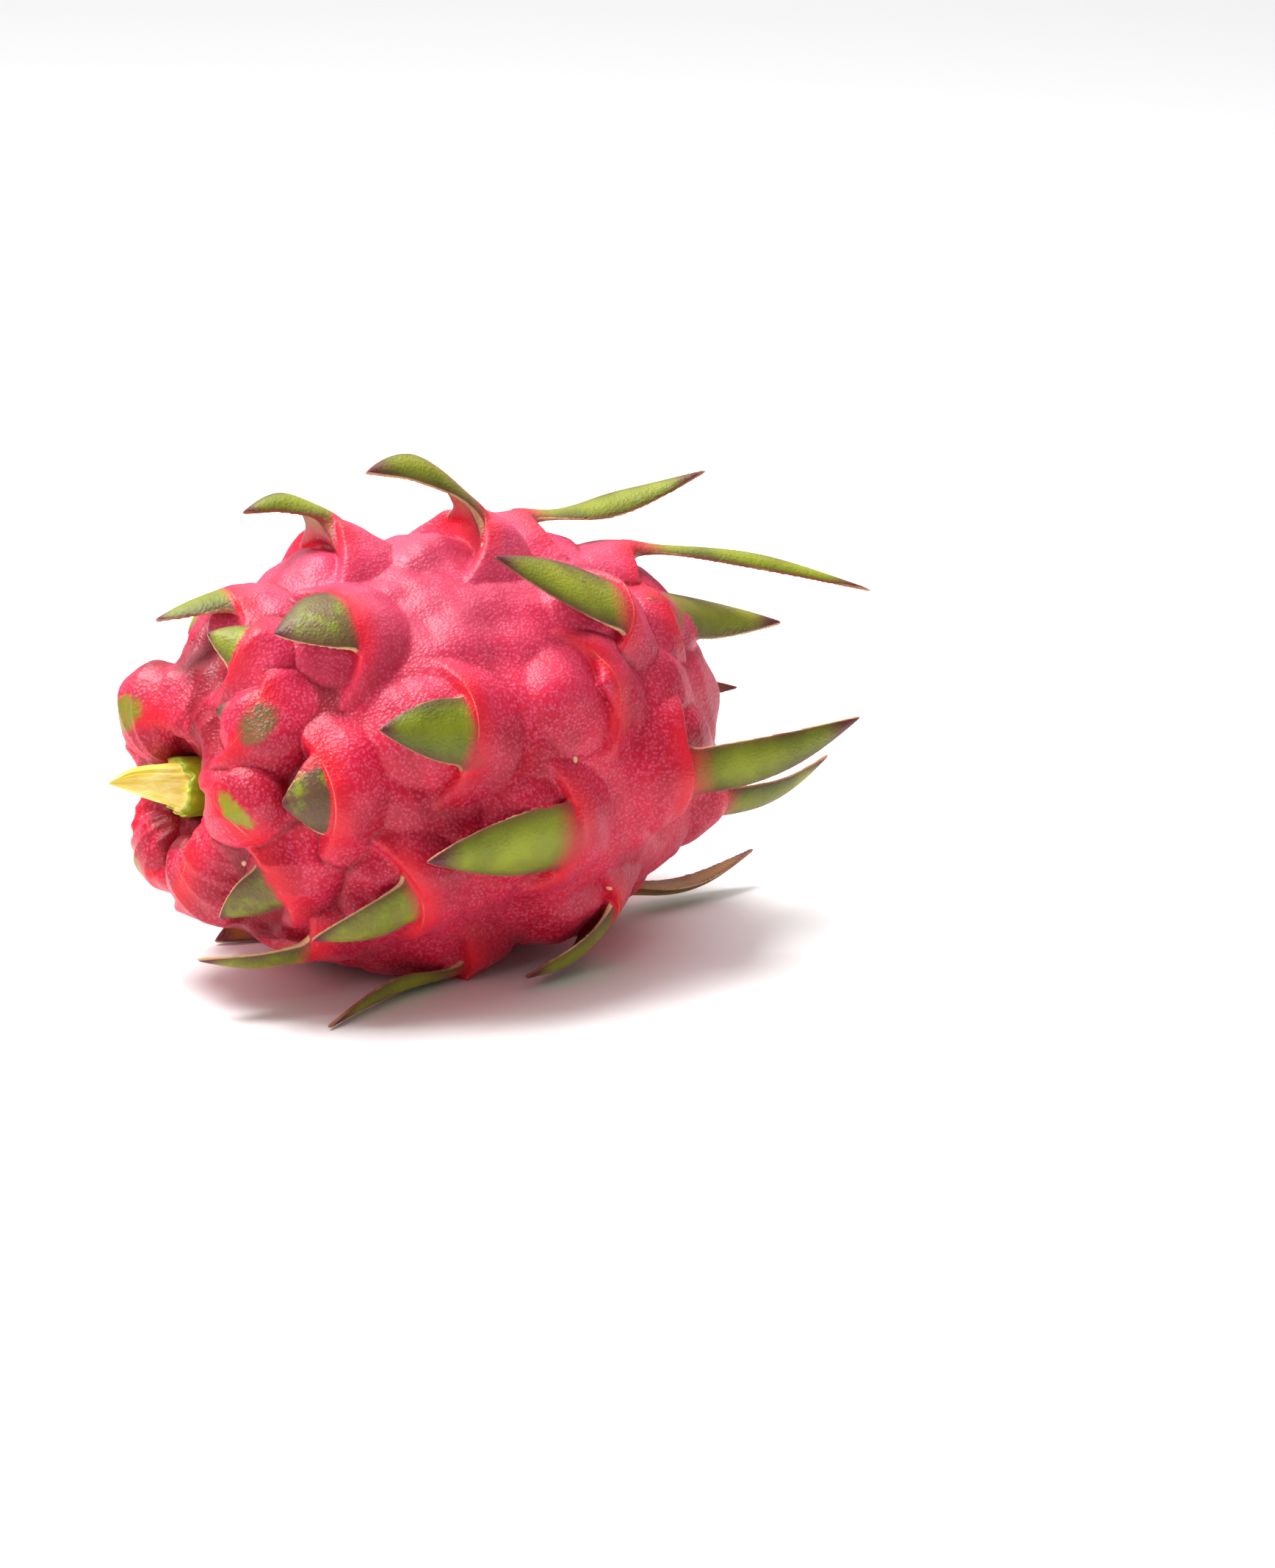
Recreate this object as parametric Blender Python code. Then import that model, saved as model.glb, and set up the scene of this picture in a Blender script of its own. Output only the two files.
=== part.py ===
"""Dragon fruit, whole, lying on its side.

One smooth egg-shaped body carries 38 leafy scales in a spiral. Each scale is a hood of skin that rises to a
crescent crest, a round pillow of skin below the crest, and a pointed free blade. By the stem the hoods swell
into blunt lobes. The snapped stem stands in the hollow at the -X end, and the withered flower sits in the
hollow at the +X end.
"""

import bpy
import bmesh
import math
import random

import numpy as np
from mathutils import Matrix

MM = 0.001

# Driving dimensions.
HALF_LENGTH = 62.0 * MM
RADIUS = 42.0 * MM
BLUNTNESS = 0.90
AXIS_HEIGHT = 42.0 * MM
BODY_MIDDLE = (-9.8 * MM, -1.2 * MM)
BODY_ROUNDNESS = 1 / (2 * RADIUS)
STEM_HOLLOW = (12.5 * MM, 11.5 * MM)
FLOWER_HOLLOW = (8.0 * MM, 12.0 * MM)
SCALE_COUNT = 38
FIRST_SCALE = -60.0 * MM
SCALE_REACH = 115.0 * MM
FIRST_ANGLE = math.radians(18.0)
SCALE_TURN = math.radians(-137.0)
STEM_RADIUS = 6.5 * MM
STEM_FOOT = -45.5 * MM
STEM_RIM = -57.0 * MM
SPLINTER_TIP = (-72.0 * MM, 3.8 * MM)
FLOWER_RADIUS = 7.5 * MM
FLOWER_FOOT = 50.0 * MM
FLOWER_RIM = 62.0 * MM
SOCKET_GAP = 0.3 * MM
ROOT_DEPTH = 5.0 * MM
ROOT_THICKNESS = 3.4 * MM
STEEP_ROOT = 5.0 * MM
ROOT_SINK = 0.45
ROOT_SPAN = 0.72
NECK = 2.5 * MM
LEAF_START = 0.36
BLADE_THICKNESS = 1.4 * MM
TIP_THICKNESS = 0.9 * MM
FLOOR_GAP = 0.4 * MM

# How finely the solids are faceted.
ROWS = 38
COLUMNS = 66
BLADE_SECTIONS = 5
BLADE_SIDES = 8
MIDLINE_STEPS = 50

SKIN_PINK = (0.76, 0.06, 0.12)
STEM_GREEN = (0.72, 0.74, 0.22)
FLOWER_TAN = (0.62, 0.42, 0.18)


# The smooth body.


def body_points(theta, psi):
    """Points of the smooth body: theta runs from the stem pole to the flower pole, psi from the top to -Y."""
    ring = RADIUS * np.sin(theta) ** BLUNTNESS
    x = -HALF_LENGTH * np.cos(theta)
    stem_end = theta < math.pi / 2
    depth = np.where(stem_end, STEM_HOLLOW[0], -FLOWER_HOLLOW[0])
    width = np.where(stem_end, STEM_HOLLOW[1], FLOWER_HOLLOW[1])
    x = x + depth * np.exp(-((ring / width) ** 2))
    return np.stack([x, -ring * np.sin(psi), ring * np.cos(psi)], axis=-1)


def body_normals(theta, psi):
    """Outward normals of the smooth body, from small steps along both directions."""
    step = 1e-4
    theta = np.clip(theta, 2 * step, math.pi - 2 * step)
    along = body_points(theta + step, psi) - body_points(theta - step, psi)
    around = body_points(theta, psi + step) - body_points(theta, psi - step)
    normals = np.cross(around, along)
    return normals / np.linalg.norm(normals, axis=-1, keepdims=True)


# The scales: where each one sits, and its own sizes.


class Scale:
    """One leafy scale. Ahead is where its blade points, across is its width, out is out of the skin."""

    def __init__(self, place, angle, heading, **sizes):
        theta = np.array(math.acos(max(-0.98, min(0.98, -place / HALF_LENGTH))))
        angle = np.array(angle)
        self.seat = body_points(theta, angle)
        self.out = body_normals(theta, angle)
        stemward = body_points(theta - 1e-3, angle) - self.seat
        stemward = stemward / np.linalg.norm(stemward)
        sideways = np.cross(self.out, stemward)
        self.ahead = stemward * math.cos(heading) + sideways * math.sin(heading)
        self.across = np.cross(self.out, self.ahead)
        self.span = sizes["span"]
        self.crest = sizes["crest"]
        self.length = sizes["length"]
        self.width = sizes["width"]
        self.rise = math.radians(sizes["rise"])
        self.fall = math.radians(sizes["fall"])
        self.sway = math.radians(sizes["sway"])
        self.roll = math.radians(sizes["roll"])
        self.cup = sizes["cup"]
        self.lobe = sizes["lobe"]
        self.root = ROOT_THICKNESS + STEEP_ROOT * max(0, sizes["rise"] / 45 - 1)


# The rule's own sizes, in mm and degrees. Span is half a scale's width, and width is half its leaf's.
FULL_SPAN = 16.5
FULL_CREST = 6.2
LOBE_HEIGHT = 7.5
SIDE_LEAF = dict(length=24, width=6.6, rise=26, fall=-8)
ERECT_LEAF = dict(length=44, width=5.0, rise=44, fall=14)
SHORTER_BY_STEM = 16

# What the seen scales do differently from the rule. Place is along the fruit and turn is round it, from the
# rule's own seat; heading 0 points at the stem.
SEEN = {
    0: dict(place=15, turn=4, crest=5, length=9, width=4.5, rise=30, fall=9, heading=-60, lobe=0),
    1: dict(turn=-27, crest=5.5, length=6, rise=0, fall=-40, lobe=6),
    2: dict(place=2, turn=-17, crest=5, length=8, width=3.5, rise=0, fall=-19, heading=44),
    3: dict(place=-5, turn=-1, crest=6, length=6, width=4.5, rise=5, fall=-42, heading=-10, lobe=8),
    4: dict(place=-6, turn=-33, crest=5.3, length=8, width=4, rise=0, fall=-28, heading=30),
    5: dict(place=-1, turn=-2, crest=4.6, length=9, width=4.5, rise=5, fall=-15, heading=-50),
    6: dict(length=5, rise=0, fall=-20),
    7: dict(place=-4, turn=-24, crest=5, length=15, width=5, rise=20, fall=0, heading=40, sway=10),
    8: dict(place=0, turn=-8, crest=6.3, length=16.5, width=5, rise=30, fall=7, heading=-3, sway=-7),
    9: dict(length=9),
    10: dict(place=-5, turn=-7, crest=5, length=11, width=7.5, rise=34, fall=-12, heading=5, sway=0),
    11: dict(length=8, rise=10, fall=-30),
    12: dict(place=-9, turn=-29, crest=5, length=24.5, width=4, rise=34, fall=5, heading=5, sway=2),
    13: dict(place=-2, turn=-7, crest=6, length=17, width=8, rise=30, fall=-12, heading=0, sway=-4),
    15: dict(place=-4, turn=-9, crest=5, length=24, width=5.2, rise=30, fall=-8, heading=20, sway=0),
    16: dict(place=-1, turn=6, crest=9.7, length=22.5, width=4.2, rise=69, fall=-5, heading=-1, sway=0, roll=35),
    18: dict(place=-3, turn=-2, crest=5.5, length=21.5, width=6.6, rise=25, fall=-8, heading=-12, sway=5),
    20: dict(place=-2, turn=-5, crest=6.5, length=42, width=4, rise=27, fall=17, heading=-7, sway=-15, roll=-30),
    21: dict(place=8, turn=-14, crest=9.3, length=36, width=5, rise=52, fall=-2, heading=-6, sway=30, roll=35),
    23: dict(place=1, turn=-6, crest=5.7, length=36, width=7.4, rise=11, fall=-10, heading=-8, sway=10),
    24: dict(place=13, turn=22, crest=7.5, length=42, width=4.6, rise=12, fall=27, heading=168, sway=-12, roll=-40),
    26: dict(place=3, turn=6, crest=4.5, length=4, width=2.2, rise=25, fall=-5),
    29: dict(place=14, turn=1, crest=7.8, length=54, width=3.4, rise=26, fall=10, heading=154, sway=0, roll=-30),
    32: dict(length=16, rise=10, fall=-10),
    34: dict(place=-15, turn=1, crest=5.8, length=36, width=7, rise=8, fall=0, heading=-13, sway=0, cup=0.15),
    37: dict(place=-14, turn=46, crest=5, length=42, width=6.5, rise=0, fall=10, heading=195, sway=-20, cup=0.4),
}


def rule_of_growth(number, draw):
    """A scale's sizes by where it grows: blunt by the stem, bent back on the sides, erect by the flower."""
    place = FIRST_SCALE + SCALE_REACH * (number / (SCALE_COUNT - 1)) ** 1.15
    roundness = math.sqrt(max(0.05, 1 - (place / HALF_LENGTH) ** 2))
    size = 0.6 + 0.4 * roundness
    by_stem = max(0.0, -place / HALF_LENGTH - 0.35) / 0.65
    erect = place > 0.5 * HALF_LENGTH
    leaf = ERECT_LEAF if erect else SIDE_LEAF
    return dict(
        seat=place,
        place=draw.uniform(-1.2, 1.2),
        turn=draw.uniform(-4, 4),
        heading=(180 if erect else 0) + draw.uniform(-14, 14),
        span=FULL_SPAN * size,
        crest=FULL_CREST * size + draw.uniform(-0.4, 0.6),
        length=(leaf["length"] - SHORTER_BY_STEM * by_stem) * draw.uniform(0.85, 1.12),
        width=leaf["width"] * size + draw.uniform(-0.4, 0.6),
        rise=leaf["rise"] + draw.uniform(-5, 8),
        fall=leaf["fall"] + draw.uniform(-6, 6),
        sway=draw.uniform(-14, 14),
        roll=0,
        cup=draw.uniform(0.2, 0.4),
        lobe=LOBE_HEIGHT * by_stem,
    )


def make_scales():
    """All scales, from the stem to the flower, each a fixed turn from the last, as the fruit grows them."""
    draw = random.Random(5)
    scales = []
    for number in range(SCALE_COUNT):
        sizes = rule_of_growth(number, draw)
        sizes.update(SEEN.get(number, {}))
        for name in ("span", "crest", "length", "width", "lobe"):
            sizes[name] *= MM
        place = sizes.pop("seat") + sizes.pop("place") * MM
        angle = FIRST_ANGLE + number * SCALE_TURN + math.radians(sizes.pop("turn"))
        scales.append(Scale(place, angle, math.radians(sizes.pop("heading")), **sizes))
    return scales


# The relief that the scales raise on the body.

CRESCENT = 28.0
RAMP = 13.0 * MM
DROP = 2.0 * MM
SIDE_DROP = 5.0 * MM
PILLOW_AHEAD = 9.5 * MM
PILLOW_RADIUS = 13.2 * MM
PILLOW_HEIGHT = 3.8 * MM
LOBE_BACK = 1.0 * MM
LOBE_HALF_LENGTH = 9.0 * MM
LOBE_HALF_WIDTH = 7.5 * MM
FILL = 1.2 * MM
STEM_SINK = 5.0 * MM
VALLEY_SINK = 1.6
SINK_STARTS = -28.0 * MM
SINK_LENGTH = 22.0 * MM
SOFTNESS = 0.2 * MM
SAME_SIDE = 20.0 * MM
REACH = 30.0 * MM


def smooth_step(value):
    value = np.clip(value, 0, 1)
    return value * value * (3 - 2 * value)


def stem_sink(points):
    """How deep the skin lies between the lobes round the stem."""
    return STEM_SINK * smooth_step((SINK_STARTS - points[:, 0]) / SINK_LENGTH)


def scale_relief(scale, points):
    """Height of one scale's hood, pillow and lobe over the smooth body, at each point."""
    offset = points - scale.seat
    ahead = offset @ scale.ahead
    across = offset @ scale.across
    near = (offset @ scale.out > -SAME_SIDE) & (np.hypot(ahead, across) < REACH)
    size = scale.span / (FULL_SPAN * MM)
    from_crest = ahead - CRESCENT * across**2
    span = np.clip(1 - (across / scale.span) ** 2, 0, 1)
    climb = np.clip(1 + from_crest / (RAMP * size), 0, 1)
    ramp = climb * (1.6 - 0.6 * climb)
    drop = 1 - smooth_step(from_crest / (DROP + SIDE_DROP * (1 - span)))
    ridge = scale.crest * span * np.where(from_crest < 0, ramp, drop)
    from_pillow = np.hypot(ahead - PILLOW_AHEAD * size, across) / (PILLOW_RADIUS * size)
    pillow = PILLOW_HEIGHT * (1 - from_pillow**2) - stem_sink(points)
    ball = 1 - ((ahead + LOBE_BACK) / LOBE_HALF_LENGTH) ** 2 - (across / LOBE_HALF_WIDTH) ** 2
    lobe = scale.lobe * np.sqrt(np.clip(ball, 0, 1))
    return np.where(near, np.maximum(np.maximum(ridge, pillow), lobe), -1.0)


def relief(scales, points):
    """Height of all the scales together. A soft maximum leaves a crease where two of them meet."""
    fill = FILL - VALLEY_SINK * stem_sink(points)
    heights = np.stack([scale_relief(scale, points) for scale in scales] + [fill])
    highest = heights.max(axis=0)
    return highest + SOFTNESS * np.log(np.exp((heights - highest) / SOFTNESS).sum(axis=0))


# Meshes.


def triangulate(mesh):
    made = bmesh.new()
    made.from_mesh(mesh)
    bmesh.ops.triangulate(made, faces=made.faces, ngon_method="EAR_CLIP")
    made.to_mesh(mesh)
    made.free()


def new_object(name, points, faces, colour, roughness):
    mesh = bpy.data.meshes.new(name)
    mesh.from_pydata([tuple(point) for point in points], [], faces)
    made = bmesh.new()
    made.from_mesh(mesh)
    bmesh.ops.recalc_face_normals(made, faces=made.faces)
    made.to_mesh(mesh)
    made.free()
    triangulate(mesh)
    obj = bpy.data.objects.new(name, mesh)
    bpy.context.scene.collection.objects.link(obj)
    material = bpy.data.materials.get(name) or bpy.data.materials.new(name)
    material.use_nodes = True
    shader = material.node_tree.nodes["Principled BSDF"]
    shader.inputs["Base Color"].default_value = (*colour, 1)
    shader.inputs["Roughness"].default_value = roughness
    shader.inputs["Metallic"].default_value = 0
    mesh.materials.append(material)
    return obj


def stack_faces(rings, count):
    """Quads between rings of count points each, which follow one another in the point list."""
    faces = []
    for ring in range(rings - 1):
        for k in range(count):
            following = (k + 1) % count
            low, high = ring * count, (ring + 1) * count
            faces.append((low + k, low + following, high + following, high + k))
    return faces


def ring_angle(radius):
    """The angle from a pole at which the smooth body has this radius."""
    return math.asin((radius / RADIUS) ** (1 / BLUNTNESS))


def body_mesh(scales):
    """The body with its relief, a plain socket at each end, and a flat spot at z = 0 where it rests."""
    stem_hole = STEM_RADIUS + SOCKET_GAP
    flower_hole = FLOWER_RADIUS + SOCKET_GAP
    theta = np.linspace(ring_angle(stem_hole), math.pi - ring_angle(flower_hole), ROWS)
    psi = np.linspace(0, 2 * math.pi, COLUMNS, endpoint=False)
    rows, columns = (grid.ravel() for grid in np.meshgrid(theta, psi, indexing="ij"))
    smooth = body_points(rows, columns)
    points = smooth + body_normals(rows, columns) * relief(scales, smooth)[:, None]
    points = points.reshape(ROWS, COLUMNS, 3)
    circle = np.stack([0 * psi, -np.sin(psi), np.cos(psi)], axis=-1)
    for row, hole, foot in ((0, stem_hole, STEM_FOOT), (-1, flower_hole, FLOWER_FOOT)):
        points[row, :, 1:] = circle[:, 1:] * hole
        inward = -1 if row == 0 else 1
        floor = circle * hole + np.array([foot - inward * SOCKET_GAP, 0, 0])
        points = np.insert(points, 0 if row == 0 else len(points), floor, axis=0)
    rings = len(points)
    centres = [points[0].mean(axis=0), points[-1].mean(axis=0)]
    points = np.concatenate([points.reshape(-1, 3), centres])
    points[:, 2] = np.maximum(points[:, 2] + AXIS_HEIGHT, 0)
    faces = stack_faces(rings, COLUMNS)
    last = (rings - 1) * COLUMNS
    for k in range(COLUMNS):
        following = (k + 1) % COLUMNS
        faces.append((rings * COLUMNS, following, k))
        faces.append((rings * COLUMNS + 1, last + k, last + following))
    return new_object("fruit", points, faces, SKIN_PINK, 0.42)


def blade_directions(scale, distances):
    """The blade's own directions at each distance from the crest: forward, across and above."""
    share = np.clip(distances / scale.length, 0, 1)
    slope = scale.rise + (scale.fall - scale.rise) * smooth_step(share * 1.15)
    swing = scale.sway * share
    ahead = scale.ahead * np.cos(swing)[:, None] + scale.across * np.sin(swing)[:, None]
    across = scale.across * np.cos(swing)[:, None] - scale.ahead * np.sin(swing)[:, None]
    forward = ahead * np.cos(slope)[:, None] + scale.out * np.sin(slope)[:, None]
    above = scale.out * np.cos(slope)[:, None] - ahead * np.sin(slope)[:, None]
    roll = scale.roll * smooth_step((share - 0.1) * 2)[:, None]
    rolled = across * np.cos(roll) - above * np.sin(roll)
    above = above * np.cos(roll) + across * np.sin(roll)
    return forward, rolled, above


def blade_midline(scale, distances):
    """Points of the blade's midline, which is followed in small steps from its root at the crest."""
    steps = np.linspace(0, scale.length, MIDLINE_STEPS)
    moves = blade_directions(scale, steps)[0] * steps[1]
    moves[0] = 0
    line = scale.seat + scale.out * (scale.crest - scale.root / 2) + np.cumsum(moves, axis=0)
    return np.stack([np.interp(distances, steps, column) for column in line.T], axis=-1)


def blade_sections(scale):
    """Distances along the blade of its cross-sections: close at the neck, wider apart to the tip."""
    share = np.linspace(0, 1, BLADE_SECTIONS + 1) ** 1.35
    return share * scale.length


def blade_widths(scale, distances):
    """Half-width of the blade, share of the neck and thickness, at each distance from the crest."""
    free = np.clip(distances / scale.length, 0, 1)
    neck = np.exp(-(((distances + NECK / 2) / NECK) ** 2))
    leaf = scale.width * np.sin(math.pi * (LEAF_START + (1 - LEAF_START) * free)) ** 0.85
    half_width = leaf + np.maximum(ROOT_SPAN * scale.span - leaf, 0) * neck
    root = np.exp(-((distances / (2 * NECK)) ** 2))
    thickness = BLADE_THICKNESS + (TIP_THICKNESS - BLADE_THICKNESS) * free
    thickness = thickness + (scale.root - BLADE_THICKNESS) * root
    return half_width, neck, thickness


def root_bend(scale, reach, neck):
    """How the blade's root leaves its flat section, ahead and out, so that it follows the crest."""
    ahead = CRESCENT * reach**2 * neck
    out = -(BODY_ROUNDNESS + scale.crest / scale.span**2) * reach**2 * neck
    return ahead[..., None] * scale.ahead + out[..., None] * scale.out


def blade_points(scale, distances):
    """Cross-sections of one blade: a wide root along the crest, a neck, and a lance-shaped leaf."""
    turn = np.linspace(0, 2 * math.pi, BLADE_SIDES, endpoint=False)
    side = np.cos(turn)
    face = np.sign(np.sin(turn)) * np.abs(np.sin(turn)) ** 0.4
    line = blade_midline(scale, distances)
    across, above = blade_directions(scale, distances)[1:]
    half_width, neck, thickness = (values[:, None] for values in blade_widths(scale, distances))
    reach = side * half_width
    lift = face * thickness / 2 * (1 - 0.35 * side**2) - (1 - neck) * scale.cup * half_width * side**2
    return (
        line[:, None, :]
        + across[:, None, :] * reach[..., None]
        + above[:, None, :] * lift[..., None]
        + root_bend(scale, reach, neck)
    )


def blade_mesh(scale, name):
    """One blade as a closed solid. Where it would pass below the floor it is pressed up on it."""
    distances = blade_sections(scale)
    sections = blade_points(scale, distances)
    buried = sections[0] - scale.ahead * ROOT_DEPTH - scale.out * (ROOT_SINK * scale.crest)
    tip = sections[-1].mean(axis=0)
    sections = np.concatenate([buried[None], sections[:-1]])
    sections[..., 2] += AXIS_HEIGHT
    tip[2] = max(tip[2] + AXIS_HEIGHT, FLOOR_GAP + TIP_THICKNESS / 2)
    lowest = sections[..., 2].min(axis=1)
    sections[..., 2] += np.maximum(FLOOR_GAP - lowest, 0)[:, None]
    rings = len(sections)
    faces = stack_faces(rings, BLADE_SIDES)
    faces.append(tuple(range(BLADE_SIDES)))
    last = (rings - 1) * BLADE_SIDES
    for k in range(BLADE_SIDES):
        faces.append((last + k, last + (k + 1) % BLADE_SIDES, rings * BLADE_SIDES))
    points = np.concatenate([sections.reshape(-1, 3), tip[None]])
    return new_object(name, points, faces, SKIN_PINK, 0.42)


def apply_modifiers(obj):
    graph = bpy.context.evaluated_depsgraph_get()
    finished = bpy.data.meshes.new_from_object(obj.evaluated_get(graph))
    obj.modifiers.clear()
    obj.data = finished


def fuse(obj, pieces):
    """Joins all the pieces to obj with one Boolean union, and removes them."""
    collection = bpy.data.collections.new("blades")
    bpy.context.scene.collection.children.link(collection)
    for piece in pieces:
        bpy.context.scene.collection.objects.unlink(piece)
        collection.objects.link(piece)
    union = obj.modifiers.new("union", "BOOLEAN")
    union.operation = "UNION"
    union.operand_type = "COLLECTION"
    union.collection = collection
    union.solver = "EXACT"
    apply_modifiers(obj)
    triangulate(obj.data)
    for piece in pieces:
        bpy.data.objects.remove(piece)
    bpy.data.collections.remove(collection)


def turned_solid(name, rings, sides, wobble, colour, roughness):
    """A closed solid lofted along X through uneven rings of (x, radius, height of its centre)."""
    draw = random.Random(name)
    turn = np.linspace(0, 2 * math.pi, sides, endpoint=False)
    points = []
    for x, radius, height in rings:
        reach = radius * np.array([1 + draw.uniform(-wobble, wobble) for _ in turn])
        push = 0.5 * radius * np.array([draw.uniform(-wobble, wobble) for _ in turn])
        ring = np.stack([x + push, reach * np.sin(turn), AXIS_HEIGHT + height + reach * np.cos(turn)], axis=-1)
        points.append(ring)
    points = np.concatenate(points)
    faces = stack_faces(len(rings), sides)
    faces.append(tuple(range(sides)))
    faces.append(tuple(range(len(points) - 1, len(points) - sides - 1, -1)))
    return new_object(name, points, faces, colour, roughness)


def make_stem():
    """The snapped stem: a green stub with a rough broken face, and the woody splinter that tore out of it."""
    tip_x, tip_height = SPLINTER_TIP
    rings = [
        (STEM_FOOT, STEM_RADIUS * 0.92, 0),
        (STEM_FOOT - 3 * MM, STEM_RADIUS * 0.95, 0),
        (STEM_RIM + 3.5 * MM, STEM_RADIUS * 0.95, 0.4 * MM),
        (STEM_RIM, STEM_RADIUS * 0.9, 0.8 * MM),
        (STEM_RIM + 0.6 * MM, STEM_RADIUS * 0.7, 1.1 * MM),
        (STEM_RIM - 2.5 * MM, STEM_RADIUS * 0.5, 1.8 * MM),
        (STEM_RIM - 8 * MM, STEM_RADIUS * 0.36, 3.0 * MM),
        (tip_x + 2 * MM, STEM_RADIUS * 0.16, tip_height),
        (tip_x, STEM_RADIUS * 0.06, tip_height),
    ]
    return turned_solid("stem", rings, 14, 0.05, STEM_GREEN, 0.45)


def make_flower_remnant():
    """What is left of the flower: a short dried tube with a ragged mouth, and the style's stump inside it."""
    rings = [
        (FLOWER_FOOT, FLOWER_RADIUS * 0.9, 0),
        (FLOWER_FOOT + 4 * MM, FLOWER_RADIUS * 0.92, 0),
        (FLOWER_RIM - 2 * MM, FLOWER_RADIUS * 0.9, 0),
        (FLOWER_RIM, FLOWER_RADIUS * 0.8, 0),
        (FLOWER_RIM - 0.4 * MM, FLOWER_RADIUS * 0.64, 0),
        (FLOWER_RIM - 4 * MM, FLOWER_RADIUS * 0.55, 0),
        (FLOWER_RIM - 4.5 * MM, FLOWER_RADIUS * 0.28, 0),
        (FLOWER_RIM - 0.5 * MM, FLOWER_RADIUS * 0.16, 0),
    ]
    return turned_solid("flower_remnant", rings, 16, 0.07, FLOWER_TAN, 0.85)


def stand_on_origin(objects):
    """Moves the fruit so that the origin is on the floor, under the middle of its outline."""
    shift = Matrix.Translation((*BODY_MIDDLE, 0))
    for obj in objects:
        obj.data.transform(shift)


def clear_scene():
    for obj in list(bpy.data.objects):
        bpy.data.objects.remove(obj)


clear_scene()
scales = make_scales()
fruit = body_mesh(scales)
fuse(fruit, [blade_mesh(scale, f"blade_{number}") for number, scale in enumerate(scales)])
stand_on_origin([fruit, make_stem(), make_flower_remnant()])
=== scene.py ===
import math
import random

import bmesh
import bpy
import numpy as np
from mathutils import Matrix, Vector
from mathutils.bvhtree import BVHTree


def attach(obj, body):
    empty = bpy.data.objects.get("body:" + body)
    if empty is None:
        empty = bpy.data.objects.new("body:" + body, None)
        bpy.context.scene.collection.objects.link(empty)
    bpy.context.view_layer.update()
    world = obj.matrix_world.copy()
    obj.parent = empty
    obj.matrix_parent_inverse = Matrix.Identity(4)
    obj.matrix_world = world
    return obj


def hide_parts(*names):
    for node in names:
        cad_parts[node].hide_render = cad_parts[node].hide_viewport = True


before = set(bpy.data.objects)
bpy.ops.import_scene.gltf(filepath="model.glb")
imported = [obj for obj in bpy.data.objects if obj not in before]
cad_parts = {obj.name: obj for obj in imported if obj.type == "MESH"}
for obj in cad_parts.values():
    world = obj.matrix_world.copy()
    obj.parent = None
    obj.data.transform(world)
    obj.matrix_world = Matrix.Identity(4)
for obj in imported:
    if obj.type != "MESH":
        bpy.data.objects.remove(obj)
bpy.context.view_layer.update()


# The place: a plain white floor, a broad soft light above and behind the fruit, a small one overhead, a weak
# one at the front left, and the camera at the photograph's own angle. It looks down 16 degrees from 0.9 m,
# from the stem's side of the fruit.

MM = 0.001
PHOTO_AZIMUTH = math.radians(-32)
PHOTO_ELEVATION = math.radians(16)
PHOTO_DISTANCE = 0.9
PHOTO_LENS = 101.5
FRUIT_MIDDLE = Vector((-9.8 * MM, -1.2 * MM, 42.8 * MM))
RIGHT_OF_FRUIT = 42.3 * MM
BELOW_MIDDLE = 7.8 * MM
FLOOR_HALF = 6.0
FLOOR_WHITE = (0.96, 0.96, 0.96, 1)
FLOOR_ROUGHNESS = 0.7
SKY_WHITE = (1, 1, 1, 1)
SKY_STRENGTH = 0.26
SOFT_LIGHTS = {
    # place and size in m, power in W
    "ceiling": ((0.2, 1.3, 2.6), 5.4, 104),
    "overhead": ((-0.3, 0.25, 1.0), 0.5, 16),
    "front_left": ((-1.1, -0.6, 0.7), 0.5, 1.8),
}

floor_mesh = bpy.data.meshes.new("floor")
floor_corners = [(-FLOOR_HALF, -FLOOR_HALF, 0), (FLOOR_HALF, -FLOOR_HALF, 0), (FLOOR_HALF, FLOOR_HALF, 0)]
floor_mesh.from_pydata([*floor_corners, (-FLOOR_HALF, FLOOR_HALF, 0)], [], [(0, 1, 2, 3)])
floor = bpy.data.objects.new("floor", floor_mesh)
bpy.context.scene.collection.objects.link(floor)
white_floor = bpy.data.materials.new("white floor")
white_floor.use_nodes = True
floor_shader = white_floor.node_tree.nodes["Principled BSDF"]
floor_shader.inputs["Base Color"].default_value = FLOOR_WHITE
floor_shader.inputs["Roughness"].default_value = FLOOR_ROUGHNESS
floor_mesh.materials.append(white_floor)

back = Vector(
    (
        math.sin(PHOTO_AZIMUTH) * math.cos(PHOTO_ELEVATION),
        -math.cos(PHOTO_AZIMUTH) * math.cos(PHOTO_ELEVATION),
        math.sin(PHOTO_ELEVATION),
    )
)
right = Vector((math.cos(PHOTO_AZIMUTH), math.sin(PHOTO_AZIMUTH), 0))
up = back.cross(right)
camera_data = bpy.data.cameras.new("camera")
camera_data.lens = PHOTO_LENS
camera = bpy.data.objects.new("camera", camera_data)
bpy.context.scene.collection.objects.link(camera)
aim = FRUIT_MIDDLE + right * RIGHT_OF_FRUIT - up * BELOW_MIDDLE
camera_turn = Matrix((right, up, back)).transposed().to_4x4()
camera.matrix_world = Matrix.Translation(aim + back * PHOTO_DISTANCE) @ camera_turn
bpy.context.scene.camera = camera

world = bpy.data.worlds.new("studio")
world.use_nodes = True
world.node_tree.nodes["Background"].inputs["Color"].default_value = SKY_WHITE
world.node_tree.nodes["Background"].inputs["Strength"].default_value = SKY_STRENGTH
bpy.context.scene.world = world


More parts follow.
